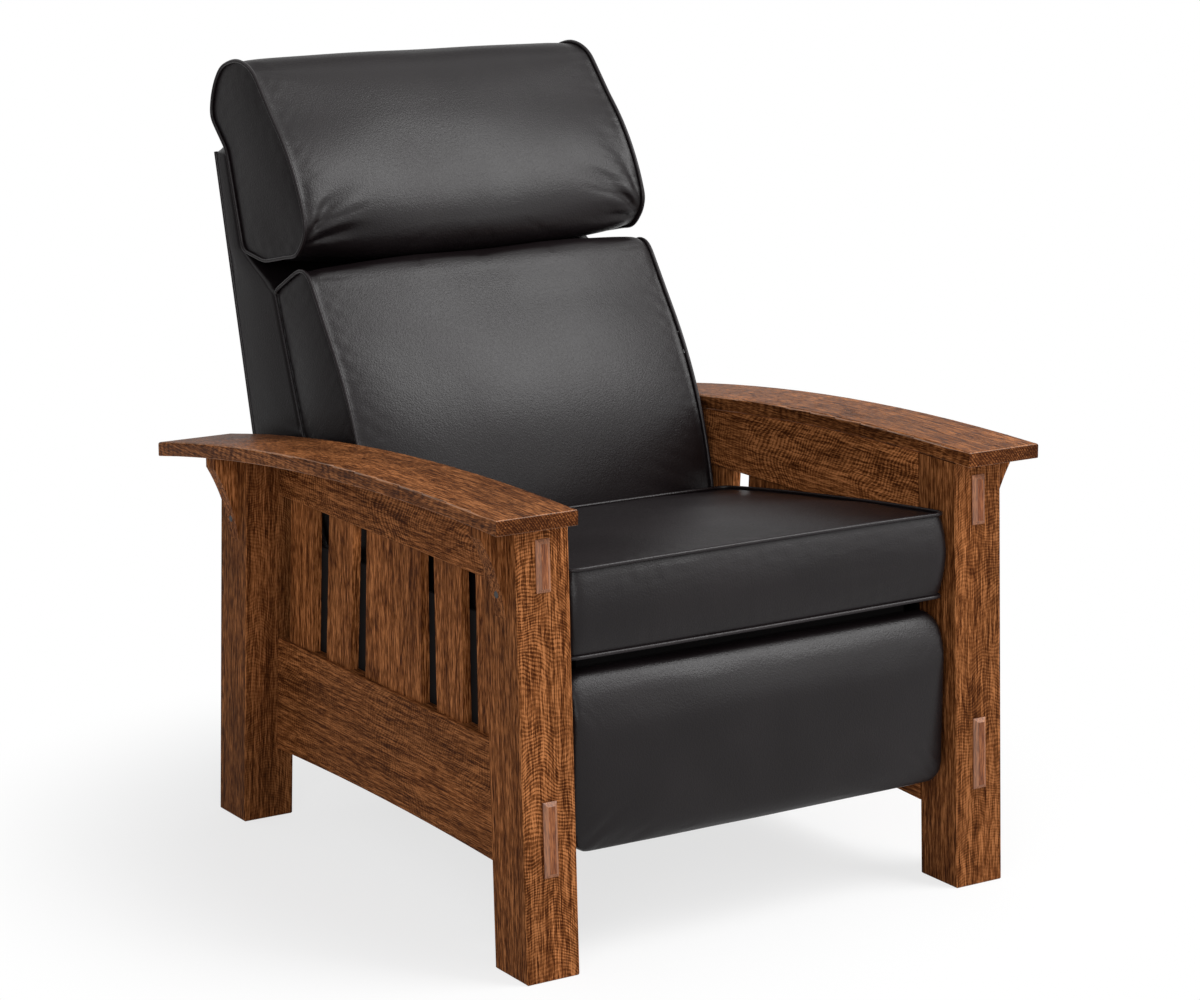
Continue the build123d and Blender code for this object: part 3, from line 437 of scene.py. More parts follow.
def painted_steel(name, colour, roughness=0.34, shine=0.35):
    """Steel with a baked paint: a little orange peel and dust in its tone."""
    work = Finish(name)
    place = work.place()
    peel = work.noise(place, 900.0, detail=1.0)
    cloud = work.noise(place, 30.0, detail=3.0)
    tint = work.blend(cloud, colour, tuple(1.7 * value for value in colour))
    return work.close(
        Base_Color=tint, Roughness=roughness + cloud * 0.15,
        Normal=work.bump(peel, 0.00008, 0.5), Specular_IOR_Level=shine,
    )


def bare_steel(name, colour):
    """Bare metal with drawn streaks and a few dull spots."""
    work = Finish(name)
    place = work.place()
    dull = work.noise(place, 60.0, detail=3.0)
    spots = work.noise(place, 340.0, detail=2.0).step(0.58, 0.70)
    tint = work.blend(spots * 0.5, colour, tuple(0.45 * value for value in colour))
    return work.close(
        Base_Color=tint, Roughness=0.28 + dull * 0.22 + spots * 0.15,
        Normal=work.bump(dull, 0.0001, 0.4), Metallic=1.0,
    )


def plain_wood(name, colour, grain="X"):
    """Unfinished frame hardwood: pale, with faint rings and fibres."""
    work = Finish(name)
    x, y, z = work.parts(work.place())
    across, through, along = {"X": (y, z, x), "Y": (x, z, y), "Z": (x, y, z)}[grain]
    fibre = work.noise(work.join(across * 600.0, through * 600.0, along * 14.0), 1.0, detail=3.0)
    band = work.noise(work.join(across * 60.0, through * 60.0, along * 2.0), 1.0, detail=2.0)
    tint = work.blend(band.step(0.35, 0.7), colour, tuple(0.72 * value for value in colour))
    return work.close(
        Base_Color=work.shade(tint, 0.75 + fibre * 0.5), Roughness=0.62 + fibre * 0.1,
        Normal=work.bump(fibre, 0.0002, 0.6),
    )


def leather_finish():
    """The leather of the covers, made by the first operator that needs it."""
    return bpy.data.materials.get("black_leather_grain") or pebbled_leather("black_leather_grain")


def piping_finish():
    """The smoother leather of the piping, lighter as painted highlight, made by the first operator
    that needs it.
    """
    found = bpy.data.materials.get("black_leather_piping")
    # The tone of 1.5 makes the cord lighter than the covers: painted highlight
    return found or pebbled_leather("black_leather_piping", tone=1.5, mottle=0.0, gloss=0.03)


def assign(node, material):
    """Gives a CAD node or a new piece its finish."""
    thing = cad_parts[node] if isinstance(node, str) else node
    thing.data.materials.clear()
    thing.data.materials.append(material)


# Surfaces


def arc(first, middle, last, count):
    """Points of the circle through three points, from the first to the last: the centre is where
    the chords' perpendicular bisectors meet, and the angle runs evenly past the middle point."""
    a, b, c = (np.array(point, float) for point in (first, middle, last))
    centre = np.linalg.solve(2 * np.array([b - a, c - a]), [b @ b - a @ a, c @ c - a @ a])
    angles = np.unwrap([math.atan2(*(point - centre)[::-1]) for point in (a, b, c)])
    sweep = np.linspace(angles[0], angles[2], count)
    return centre + np.linalg.norm(a - centre) * np.stack([np.cos(sweep), np.sin(sweep)], 1)


def evenly(points, count):
    """A closed outline taken at equal steps of its length."""
    loop = np.vstack([points, points[:1]])
    steps = np.linalg.norm(np.diff(loop, axis=0), axis=1)
    along = np.concatenate([[0], np.cumsum(steps)])
    marks = np.linspace(0, along[-1], count, endpoint=False)
    return np.stack([np.interp(marks, along, loop[:, axis]) for axis in range(loop.shape[1])], 1)


def softened(points, passes):
    """A closed outline with each point moved towards the mean of its neighbours, several times."""
    for _ in range(passes):
        points = 0.5 * points + 0.25 * (np.roll(points, 1, 0) + np.roll(points, -1, 0))
    return points


def unit(ways):
    """Directions scaled to a length of one."""
    return ways / np.linalg.norm(ways, axis=1)[:, None]


def tangents(loop):
    """Unit tangents of a closed loop: the way from each point's neighbour to the next one."""
    return unit(np.roll(loop, -1, 0) - np.roll(loop, 1, 0))


def outward(outline):
    """Unit normals of a closed outline in its plane: each tangent, between the neighbours, turned
    a quarter, to the side away from the outline's inside."""
    tangent = tangents(outline)
    normal = np.stack([tangent[:, 1], -tangent[:, 0]], 1)
    x, y = outline[:, 0], outline[:, 1]
    area = np.sum(x * np.roll(y, -1) - y * np.roll(x, -1))
    return normal if area > 0 else -normal


def rounded_rectangle(half_width, low, high, corner, count):
    """Outline of a rectangle with round corners: four quarter circles joined by straight sides."""
    quarter = np.linspace(0, math.pi / 2, 12)
    corners = []
    for turn, (x, y) in enumerate((
        (half_width - corner, high - corner),
        (corner - half_width, high - corner),
        (corner - half_width, low + corner),
        (half_width - corner, low + corner),
    )):
        angle = quarter + turn * math.pi / 2
        corners.append(np.stack([x + corner * np.cos(angle), y + corner * np.sin(angle)], 1))
    return evenly(np.vstack(corners), count)


def place_in_scene(name, data):
    """A new object in the scene, of a mesh, a lamp or a camera."""
    thing = bpy.data.objects.new(name, data)
    bpy.context.scene.collection.objects.link(thing)
    return thing


def make_object(name, vertices, faces, smooth=True):
    mesh = bpy.data.meshes.new(name)
    mesh.from_pydata(vertices.tolist(), [], faces)
    mesh.update()
    mesh.polygons.foreach_set("use_smooth", [smooth] * len(mesh.polygons))
    return place_in_scene(name, mesh)


def bands(index, closed=False):
    """Four-sided faces between neighbouring rows of point numbers, where each row is a ring. The
    last row can be joined to the first as well."""
    if closed:
        index = np.vstack([index, index[:1]])
    following = np.roll(index, -1, 1)
    faces = np.stack([index[:-1], following[:-1], following[1:], index[1:]], -1)
    return faces.reshape(-1, 4).tolist()


def turn_outwards(piece):
    """Faces turned so that the enclosed volume is positive."""
    mesh = piece.data
    mesh.calc_loop_triangles()
    corners = np.empty(len(mesh.loop_triangles) * 3, np.int32)
    mesh.loop_triangles.foreach_get("vertices", corners)
    tri = coordinates(mesh)[corners.reshape(-1, 3)]
    if np.einsum("ij,ij->i", tri[:, 0], np.cross(tri[:, 1], tri[:, 2])).sum() < 0:
        mesh.flip_normals()


def closed_surface(name, rings):
    """A closed skin over rings of points, of shape (ring, point, 3): neighbouring rings are joined
    by four-sided faces, and the first and the last ring close on their mean point."""
    count, around = rings.shape[:2]
    vertices = np.vstack([rings[0].mean(0), rings.reshape(-1, 3), rings[-1].mean(0)])
    index = 1 + np.arange(count * around).reshape(count, around)
    following = np.roll(index, -1, 1)
    first = np.stack([np.zeros(around, int), following[0], index[0]], -1)
    last = np.stack([np.full(around, len(vertices) - 1), index[-1], following[-1]], -1)
    piece = make_object(name, vertices, first.tolist() + bands(index) + last.tolist())
    turn_outwards(piece)
    return piece


def tube(name, path, radius, pole, closed=True, sides=8):
    """A round cord along a path: at each point a circle stands on two axes, the first square to
    both the path and the pole, and the second square to the path and the first."""
    tangent = tangents(path) if closed else unit(np.gradient(path, axis=0))
    first = unit(np.cross(tangent, pole))
    second = np.cross(tangent, first)
    angle = np.linspace(0, 2 * math.pi, sides, endpoint=False)[:, None]
    circle = np.cos(angle) * first[:, None] + np.sin(angle) * second[:, None]
    rings = path[:, None] + radius * circle
    if not closed:
        return closed_surface(name, rings)
    index = np.arange(len(path) * sides).reshape(-1, sides)
    piece = make_object(name, rings.reshape(-1, 3), bands(index, closed=True))
    turn_outwards(piece)
    return piece


# Cushions


def vectors(source, field):
    """One vector for each of a mesh's vertices, as an array."""
    flat = np.empty(len(source) * 3, np.float32)
    source.foreach_get(field, flat)
    return flat.reshape(-1, 3).astype(float)


def coordinates(mesh):
    return vectors(mesh.vertices, "co")


def move_to(piece, points):
    piece.data.vertices.foreach_set("co", points.astype(np.float32).ravel())
    piece.data.update()


def settle(piece, kind, **settings):
    """Runs one modifier on a piece and keeps its result as the piece's mesh."""
    modifier = piece.modifiers.new(kind.title(), kind)
    for key, value in settings.items():
        setattr(modifier, key, value)
    depsgraph = bpy.context.evaluated_depsgraph_get()
    result = bpy.data.meshes.new_from_object(piece.evaluated_get(depsgraph))
    piece.modifiers.remove(modifier)
    piece.data = result
    result.polygons.foreach_set("use_smooth", [True] * len(result.polygons))


def nearest(points, line):
    """For each point, the distance to the nearest of a line's points, and that one's number; the
    squared distance is the sum of both squared lengths less twice their product."""
    best = np.full(len(points), np.inf)
    number = np.zeros(len(points), int)
    for part in np.array_split(np.arange(len(line)), max(1, len(line) // 100)):
        some = line[part]
        square = (points**2).sum(1)[:, None] + (some**2).sum(1)[None] - 2 * points @ some.T
        index = square.argmin(1)
        value = square[np.arange(len(points)), index]
        closer = value < best
        best[closer] = value[closer]
        number[closer] = part[index[closer]]
    return np.sqrt(np.maximum(best, 0)), number


def distance(points, line):
    return nearest(points, line)[0]


def ramp(value, low, high):
    """Smooth rise from 0 at low to 1 at high."""
    share = np.clip((value - low) / (high - low), 0, 1)
    return share * share * (3 - 2 * share)


def weigh(piece, name, weights):
    """A vertex group whose weights are rounded to tenths."""
    group = piece.vertex_groups.new(name=name)
    for level in range(1, 11):
        chosen = np.flatnonzero(np.round(weights * 10) == level)
        group.add(chosen.tolist(), level / 10, "REPLACE")


def stuff(piece, seams, held, limit):
    """Stuffs a cover: it is remeshed into even cells, cloth pressure swells it between its seams,
    no point moves further than the limit, and one subdivision smooths it."""
    settings = bpy.context.scene.armchair_cushions
    settle(piece, "REMESH", mode="VOXEL", voxel_size=settings.voxel, adaptivity=0.0)
    start = coordinates(piece.data)
    seam_line = np.vstack(seams)
    fixed = np.maximum(1 - ramp(distance(start, seam_line), 0.004, 0.016), held(start))
    weigh(piece, "held", fixed)
    cloth = piece.modifiers.new("Cloth", "CLOTH")
    for key, value in {
        "quality": 5, "mass": 0.25, "tension_stiffness": 22, "compression_stiffness": 12,
        "shear_stiffness": 8, "bending_stiffness": 0.4, "use_pressure": True,
        "uniform_pressure_force": settings.pressure, "vertex_group_mass": "held",
    }.items():
        setattr(cloth.settings, key, value)
    cloth.settings.effector_weights.gravity = 0
    cloth.point_cache.frame_start = 1
    cloth.point_cache.frame_end = settings.frames
    scene = bpy.context.scene
    for number in range(1, settings.frames + 1):
        scene.frame_set(number)
    evaluated = piece.evaluated_get(bpy.context.evaluated_depsgraph_get())
    swollen = coordinates(evaluated.data)
    piece.modifiers.remove(cloth)
    scene.frame_set(1)
    piece.vertex_groups.clear()
    step = swollen - start
    length = np.maximum(np.linalg.norm(step, axis=1), 1e-9)
    print(piece.name, len(start), "cells, moved up to mm:", round(1000 * float(length.max()), 1))
    allowed = limit * np.tanh(length / limit)
    move_to(piece, start + step * (allowed / length)[:, None])
    settle(piece, "SUBSURF", levels=1, render_levels=1)


def press(piece, seams, depth):
    """Moves each point along its normal by a depth worked out from its place, less so beside a
    seam, and then draws the points next to a seam straight across to it, by the share
    0.94 * exp(-(distance / 7.5 mm) ** 4). The band beside the seam is smoothed."""
    calm_from, calm_to = 0.001, 0.012
    draw_share, draw_reach = 0.94, 0.0075
    band_starts, band_ends = (0.003, 0.006), (0.014, 0.022)
    points = coordinates(piece.data)
    line = np.vstack(seams)
    calm = ramp(distance(points, line), calm_from, calm_to)
    normals = vectors(piece.data.vertex_normals, "vector")
    points = points + normals * (depth(points) * calm)[:, None]
    away, number = nearest(points, line)
    along = np.vstack([tangents(seam) for seam in seams])[number]
    across = line[number] - points
    across -= along * (across * along).sum(1)[:, None]
    points = points + across * (draw_share * np.exp(-((away / draw_reach) ** 4)))[:, None]
    move_to(piece, points)
    away = distance(points, line)
    weigh(piece, "band", ramp(away, *band_starts) * (1 - ramp(away, *band_ends)))
    settle(piece, "SMOOTH", factor=0.5, iterations=7, vertex_group="band")
    piece.vertex_groups.clear()


def dips(points, seed, size, height):
    """Slow uneven swells: a sum of eight sine waves in seeded directions, with lengths near the
    given size and a mean height of zero."""
    source = np.random.default_rng(seed)
    total = np.zeros(len(points))
    for _ in range(8):
        way = source.normal(size=3)
        way *= 2 * math.pi / (np.linalg.norm(way) * size * source.uniform(0.7, 1.6))
        total += np.sin(points @ way + source.uniform(0, 2 * math.pi))
    return height * total / 4


def gathers(points, seams, seed, height=0.0003, reach=0.022):
    """Fine gathers beside the seams: ripples across a seam that fade with the distance from it."""
    near = distance(points, np.vstack(seams))
    fade = np.exp(-near / reach) * (1 - np.exp(-near / 0.004))
    return fade * dips(points, seed, 0.020, height) * 1.6


def groove(points, seams, depth=0.0014, width=0.0030):
    """The cover pulled down beside its piping: a bell curve about a line 6 mm from the seam."""
    near = distance(points, np.vstack(seams))
    return -depth * np.exp(-(((near - 0.006) / width) ** 2))


def dressed(points, seams, seeds, size, height, free):
    """The relief that all stuffed cushions have: slow swells where they are free, and gathers and
    a groove beside the seams."""
    swells = dips(points, seeds[0], size, height) * free
    return swells + gathers(points, seams, seeds[1]) + groove(points, seams)


def creases(points, corner, up, inward, height, reach, count, phase):
    """Creases that fan out of a corner: cosine ridges of the angle about it, between the way up
    the face and the way in from the side, growing from nothing and dying out with distance."""
    offset = points - np.array(corner)
    rise = offset @ np.array(up)
    run = offset @ np.array(inward)
    away = np.hypot(rise, run)
    angle = np.arctan2(rise, run)
    depth = offset - np.outer(rise, up) - np.outer(run, inward)
    window = ramp(angle, -0.5, 0.15) * (1 - ramp(angle, 1.25, 1.75))
    near = np.exp(-((np.linalg.norm(depth, axis=1) / 0.05) ** 2))
    swell = (away / reach) * np.exp(1 - away / reach)
    wave = np.cos(count * angle + phase + 14 * away)
    return height * window * near * swell * (wave - 0.35 * wave**2)


def at(points, x):
    """Points of a side profile, given as place and height, set at x in the frame."""
    points = np.asarray(points, float).reshape(-1, 2)
    return np.stack([np.full(len(points), x), points[:, 0] + FEET_MIDDLE, points[:, 1]], 1)


def plan_at(loop, height):
    """Points of a plan, given across and along the chair, set at a height in the frame."""
    height = np.broadcast_to(height, len(loop))
    return np.column_stack([loop[:, 0], loop[:, 1] + FEET_MIDDLE, height])


def resting(corners, count, near, far):
    """How firmly a cushion is held, as a function of points: one on the line through the corners
    where it rests, falling smoothly to nought between two distances from that line."""
    line = np.vstack([np.linspace(a, b, count) for a, b in zip(corners[:-1], corners[1:])])
    line[:, 0] += FEET_MIDDLE
    return lambda points: 1 - ramp(distance(points[:, 1:], line), near, far)


def drawn_in(outline, share, centre=None):
    """An outline brought to a share of its size about a centre, or else about its mean point."""
    centre = outline.mean(0) if centre is None else centre
    return centre + (outline - centre) * share


def gusseted(name, outline, half, dome, swell, side_round=0.004):
    """A cushion of one profile between two end panels. Each end panel runs from its middle, domed
    by a parabola, out to the seam; the body runs from seam to seam, and each of its points moves
    out along the profile's normal by its swell times 1 - |x / half| ** 2.6."""
    normal = outward(outline)
    rings = []
    shares = np.sin(np.linspace(0.06, 1, 16) * math.pi / 2)
    for share in shares:
        rings.append(at(drawn_in(outline, share), half + dome * (1 - share**2)))
    stations = half * np.sin(np.linspace(1, -1, 61) * math.pi / 2)
    for x in stations[1:-1]:
        crown = 1 - abs(x / half) ** 2.6
        pull = side_round * math.exp(-(half - abs(x)) / 0.010)
        rings.append(at(outline + normal * (swell * crown - pull)[:, None], x))
    for share in shares[::-1]:
        rings.append(at(drawn_in(outline, share), -half - dome * (1 - share**2)))
    return closed_surface(name, np.array(rings))


def upholster(piece, body, node):
    """Covers a padded piece in leather, puts it in its body and hides the CAD node it stands for.
    """
    assign(piece, leather_finish())
    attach(piece, body)
    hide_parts(node)


def cord(name, path, body, pole=SIDEWAYS, closed=True, radius=None):
    """Piping along a path, in its own leather, that goes with its cushion's body."""
    radius = radius or bpy.context.scene.armchair_leather.piping_radius
    piece = tube(name, path, radius, pole, closed)
    assign(piece, piping_finish())
    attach(piece, body)


# Operators


class ARMCHAIR_OT_oak(bpy.types.Operator):
    """Finish the posts, arms, rails, slats, corbels, caps and stretchers in stained oak"""

    bl_idname = "armchair.oak"
    bl_label = "Stained Oak"

    def execute(self, context):
        # The arms' eased edges are blended towards a pale colour: painted highlight
        arm = stained_oak(
            "oak_arm", "Y", (0.30, 0.42), 0.81, flecks=("Z", 0.25, 0.0080, 2.0, 0.60),
            arcs=("X", 0.42, 0.0150, 0.0, 0.60), sheen=0.03, wear_and_edge_highlight=0.22,
        )
        uppers = {
            side: stained_oak(
                f"oak_upper_rail_{side}", "Y", (0.10, 0.52), tone,
                flecks=("X", 0.62, 0.0072, 11.0, 0.52), arcs=("X", 0.10, 0.0260, 4.0, 0.52),
            )
            for side, tone in (("left", 0.88), ("right", 1.20))
        }
        lower = stained_oak(
            "oak_lower_rail", "Y", (0.31, -0.30), 0.90, flecks=("X", 0.34, 0.0058, 5.0, 0.20),
        )
        # The right post's tone is lower than the left's: partly a different board, partly painted
        # shade
        fronts = {
            side: stained_oak(
                f"oak_front_post_{side}", "Z", (0.34, pith), tone, FRONT_RAKE,
                flecks=("Y", strength, 0.0046, bend, 0.36),
            )
            for side, pith, tone, strength, bend in (
                ("left", -1.05, 0.85, 0.68, 6.0), ("right", -0.80, 0.68, 0.40, 2.0),
            )
        }
        rear = stained_oak(
            "oak_rear_post", "Z", (0.34, 0.95), 0.73, REAR_RAKE,
            flecks=("Y", 0.28, 0.0045, 4.0, 0.37),
        )
        slat = stained_oak("oak_slat", "Z", (0.9, 0.0), 1.02)
        corbel = stained_oak("oak_corbel", "Z", (0.46, -0.60), 0.90)
        # The caps' chamfers get a weaker pale blend: painted highlight
        cap = stained_oak("oak_cap", "Z", (0.34, -0.70), 0.92, red=0.35, sheen=0.20, wear_and_edge_highlight=0.11)
        stretcher = stained_oak("oak_stretcher", "X", (-0.5, 0.1), 0.85)
        for side in SIDES:
            assign(f"arm_{side}", arm)
            assign(f"upper_rail_{side}", uppers[side])
            assign(f"lower_rail_{side}", lower)
            assign(f"post_front_{side}", fronts[side])
            assign(f"post_rear_{side}", rear)
            for number in range(1, 6):
                assign(f"slat_{number}_{side}", slat)
            for end in ("front", "rear"):
                assign(f"corbel_{end}_{side}", corbel)
        assign("tenon_caps", cap)
        assign("front_stretcher", stretcher)
        assign("rear_stretcher", stretcher)
        assign("corbel_screws", painted_steel("dark_screw_black", (0.010, 0.008, 0.007), 0.45))
        return {"FINISHED"}


class ARMCHAIR_OT_mechanism(bpy.types.Operator):
    """Finish the mechanism's steel, the springs and the wood inside the upholstery"""

    bl_idname = "armchair.mechanism"
    bl_label = "Mechanism and Frame"

    def execute(self, context):
        steel = painted_steel("black_steel_paint", (0.016, 0.016, 0.017))
        spring = bare_steel("spring_steel_wire", (0.30, 0.29, 0.28))
        # Near-black, dull wood on the side linings and the seat's boards, seen between the slats:
        # painted shade for the dark inside of the frame
        black_wood = painted_steel("black_wood_painted_shade", (0.0060, 0.0055, 0.0055), 0.60, 0.04)
        cross_wood = plain_wood("frame_wood_cross", FRAME_WOOD, "X")
        upright_wood = plain_wood("frame_wood_upright", FRAME_WOOD, "Z")
        for side in SIDES:
            assign(f"base_plate_{side}", steel)
            assign(f"seat_rail_{side}", steel)
            assign(f"back_bracket_{side}", steel)
            assign(f"seat_side_board_{side}", black_wood)
            assign(f"back_panel_{side}", upright_wood)
        for node in (
            "base_bolts", "glide_links_front", "glide_links_rear", "swing_links", "torque_tube",
            "carrier_links", "control_links", "tilt_links", "footrest_brackets",
        ):
            assign(node, steel)
        for node in ("back_rail_top", "back_rail_middle", "back_rail_bottom", "footrest_board"):
            assign(node, cross_wood)
        for node in ("side_linings", "seat_front_board", "seat_rear_board"):
            assign(node, black_wood)
        assign("seat_springs", spring)
        return {"FINISHED"}


class ARMCHAIR_OT_seat(bpy.types.Operator):
    """Make the boxed seat cushion with its two rows of piping"""

    bl_idname = "armchair.seat"
    bl_label = "Seat Cushion"

    def execute(self, context):
        half, front, rear, corner = 0.2915, -0.3880, 0.1145, 0.013
        front_height, rear_height, front_bow = 0.5095, 0.4500, 0.004
        widest, piping_out = 0.2975, 0.0016
        plan = rounded_rectangle(half, front, rear, corner, 360)
        plan[:, 1] -= front_bow * (1 - (plan[:, 0] / half) ** 2) * (plan[:, 1] < -0.1)
        centre = np.array([0.0, (front + rear) / 2])
        side_way = outward(plan)

        def top(spot):
            share = (spot[:, 1] - front) / (rear - front)
            base = front_height + share * (rear_height - front_height)
            reach = np.clip(1 - np.abs(2 * share - 1) ** 2.4, 0, 1)
            width = np.clip(1 - np.abs(spot[:, 0] / half) ** 2.4, 0, 1)
            return base + reach * (0.004 + 0.016 * width) + 0.002 * width

        def under(spot):
            (start, start_height), (end, end_height) = SEAT_FRAME_LINE
            share = (spot[:, 1] - start) / (end - start)
            return start_height + share * (end_height - start_height) + 0.0006

        rings = []
        for share in np.sin(np.linspace(0.03, 1, 40) * math.pi / 2):
            spot = drawn_in(plan, share, centre)
            rings.append(plan_at(spot, top(spot)))
        high, low = top(plan), under(plan)
        for share in np.linspace(0, 1, 18)[1:-1]:
            bulge = math.sin(math.pi * share) ** 0.8 * (0.0045 + 0.0070 * np.abs(side_way[:, 1:]))
            rings.append(plan_at(plan + side_way * bulge, high + share * (low - high)))
        for share in np.sin(np.linspace(1, 0.03, 30) * math.pi / 2):
            spot = drawn_in(plan, share, centre)
            rings.append(plan_at(spot, under(spot)))
        piece = closed_surface("seat_cushion_leather", np.array(rings))
        seams = [plan_at(plan, high), plan_at(plan, low)]

        def held(points):
            return 1 - ramp(points[:, 2] - under(points - (0, FEET_MIDDLE, 0)), 0.003, 0.010)

        stuff(piece, seams, held, 0.010)

        def relief(points):
            return dressed(points, seams, (3, 5), 0.17, 0.0013, ramp(points[:, 2], 0.44, 0.46))

        press(piece, seams, relief)
        points = coordinates(piece.data)
        points[:, 0] = np.clip(points[:, 0], -widest, widest)
        move_to(piece, points)
        upholster(piece, "seat", "seat_cushion")
        for name, loop, lift in (("top", seams[0], 0.0016), ("bottom", seams[1], 0.0010)):
            path = loop + np.column_stack([side_way * piping_out, np.full(len(loop), lift)])
            cord(f"seat_piping_{name}", path, "seat", UP)
        return {"FINISHED"}


class ARMCHAIR_OT_lumbar(bpy.types.Operator):
    """Make the lumbar cushion, whose side panels are piped along their front and top"""

    bl_idname = "armchair.lumbar"
    bl_label = "Lumbar Cushion"

    def execute(self, context):
        corner = LUMBAR_CORNERS
        half = 0.2795
        line = np.vstack([
            arc(corner["foot"], corner["belly"], corner["brow"], 60),
            np.linspace(corner["brow"], corner["top_front"], 12)[1:-1],
            arc(corner["top_front"], corner["top_middle"], corner["top_rear"], 14),
            [corner["shoulder"], corner["waist"], corner["heel"]],
        ])
        outline = softened(evenly(line, 420), 30)
        y, z = outline.T
        forward = ramp(-outward(outline)[:, 0], -0.1, 0.5)
        rise = np.clip((z - 0.40) / 0.36, 0, 1)
        swell = forward * (0.006 + 0.012 * np.sin(rise * math.pi) ** 0.8)
        swell = swell + 0.0075 * ramp(outward(outline)[:, 1], 0.3, 0.9) * ramp(z, 0.70, 0.76)
        piece = gusseted("lumbar_cushion_leather", outline, half, 0.0, swell)
        foot = np.argmin(np.hypot(y - corner["foot"][0], z - corner["foot"][1] - 0.006))
        shoulder = np.argmin(np.hypot(y - corner["shoulder"][0], z - corner["shoulder"][1]))
        face = (outline + outward(outline) * PIPING_STAND)[min(foot, shoulder):max(foot, shoulder)]
        seams = [at(outline, half), at(outline, -half)]
        held = resting([corner[name] for name in ("shoulder", "waist", "heel")], 60, 0.004, 0.014)
        stuff(piece, seams, held, 0.012)

        def relief(points):
            lift = 0.005 * ramp(points[:, 2], 0.725, 0.785) * ramp(points[:, 0], -0.02, 0.18)
            return dressed(points, seams, (11, 12), 0.20, 0.0014, 1 - held(points)) + lift

        press(piece, seams, relief)
        upholster(piece, "back", "lumbar_cushion")
        for name, side in SIDES.items():
            path = at(face, side * (half + PIPING_STAND))
            cord(f"lumbar_piping_{name}", path, "back", closed=False)
        return {"FINISHED"}


class ARMCHAIR_OT_pillow(bpy.types.Operator):
    """Make the rolled head pillow with piped end panels"""

    bl_idname = "armchair.pillow"
    bl_label = "Head Pillow"

    def execute(self, context):
        corner = PILLOW_CORNERS
        half = 0.2775
        line = np.vstack([
            arc(corner["foot"], corner["chin"], corner["nose"], 24),
            arc(corner["nose"], corner["face"], corner["brow"], 40)[1:],
            np.linspace(corner["brow"], corner["front"], 14)[1:-1],
            arc(corner["front"], corner["crest"], corner["back"], 24),
            arc(corner["back"], corner["nape"], corner["heel"], 20)[1:],
            [corner["hook"], corner["neck"], corner["under"]],
        ])
        outline = softened(evenly(line, 420), 26)
        normal = outward(outline)
        y = outline[:, 0]
        forward = ramp(-normal[:, 0] + 0.6 * normal[:, 1], -0.3, 0.4)
        outline = outline - normal * (0.003 * forward)[:, None]
        sag = ramp(-normal[:, 1], 0.1, 0.8) * (1 - ramp(y, 0.415, 0.470))
        swell = forward * 0.004 + sag * 0.0165
        piece = gusseted("head_pillow_leather", outline, half, 0.002, swell)
        seams = [at(outline, half), at(outline, -half)]
        rest = [corner[name] for name in ("heel", "hook", "neck", "under", "foot")]
        held = resting(rest, 50, 0.006, 0.022)
        stuff(piece, seams, held, 0.007)
        chin = np.array([corner["chin"][0] + FEET_MIDDLE, corner["chin"][1]])
        face_way = np.array([0.30, 0.95])

        def relief(points):
            total = dressed(points, seams, (21, 22), 0.16, 0.0011, 1 - held(points))
            for side, phase in ((-1, 0.4), (1, 1.9)):
                spot = (side * half, chin[0] - 0.004, chin[1])
                up = (0.0, face_way[0], face_way[1])
                total += creases(points, spot, up, (-side, 0.0, 0.0), 0.0026, 0.030, 9, phase)
            return total

        press(piece, seams, relief)
        upholster(piece, "back", "head_pillow")
        loop = outline + outward(outline) * PIPING_STAND
        for name, side in SIDES.items():
            cord(f"pillow_piping_{name}", at(loop, side * (half + PIPING_STAND)), "back")
        return {"FINISHED"}


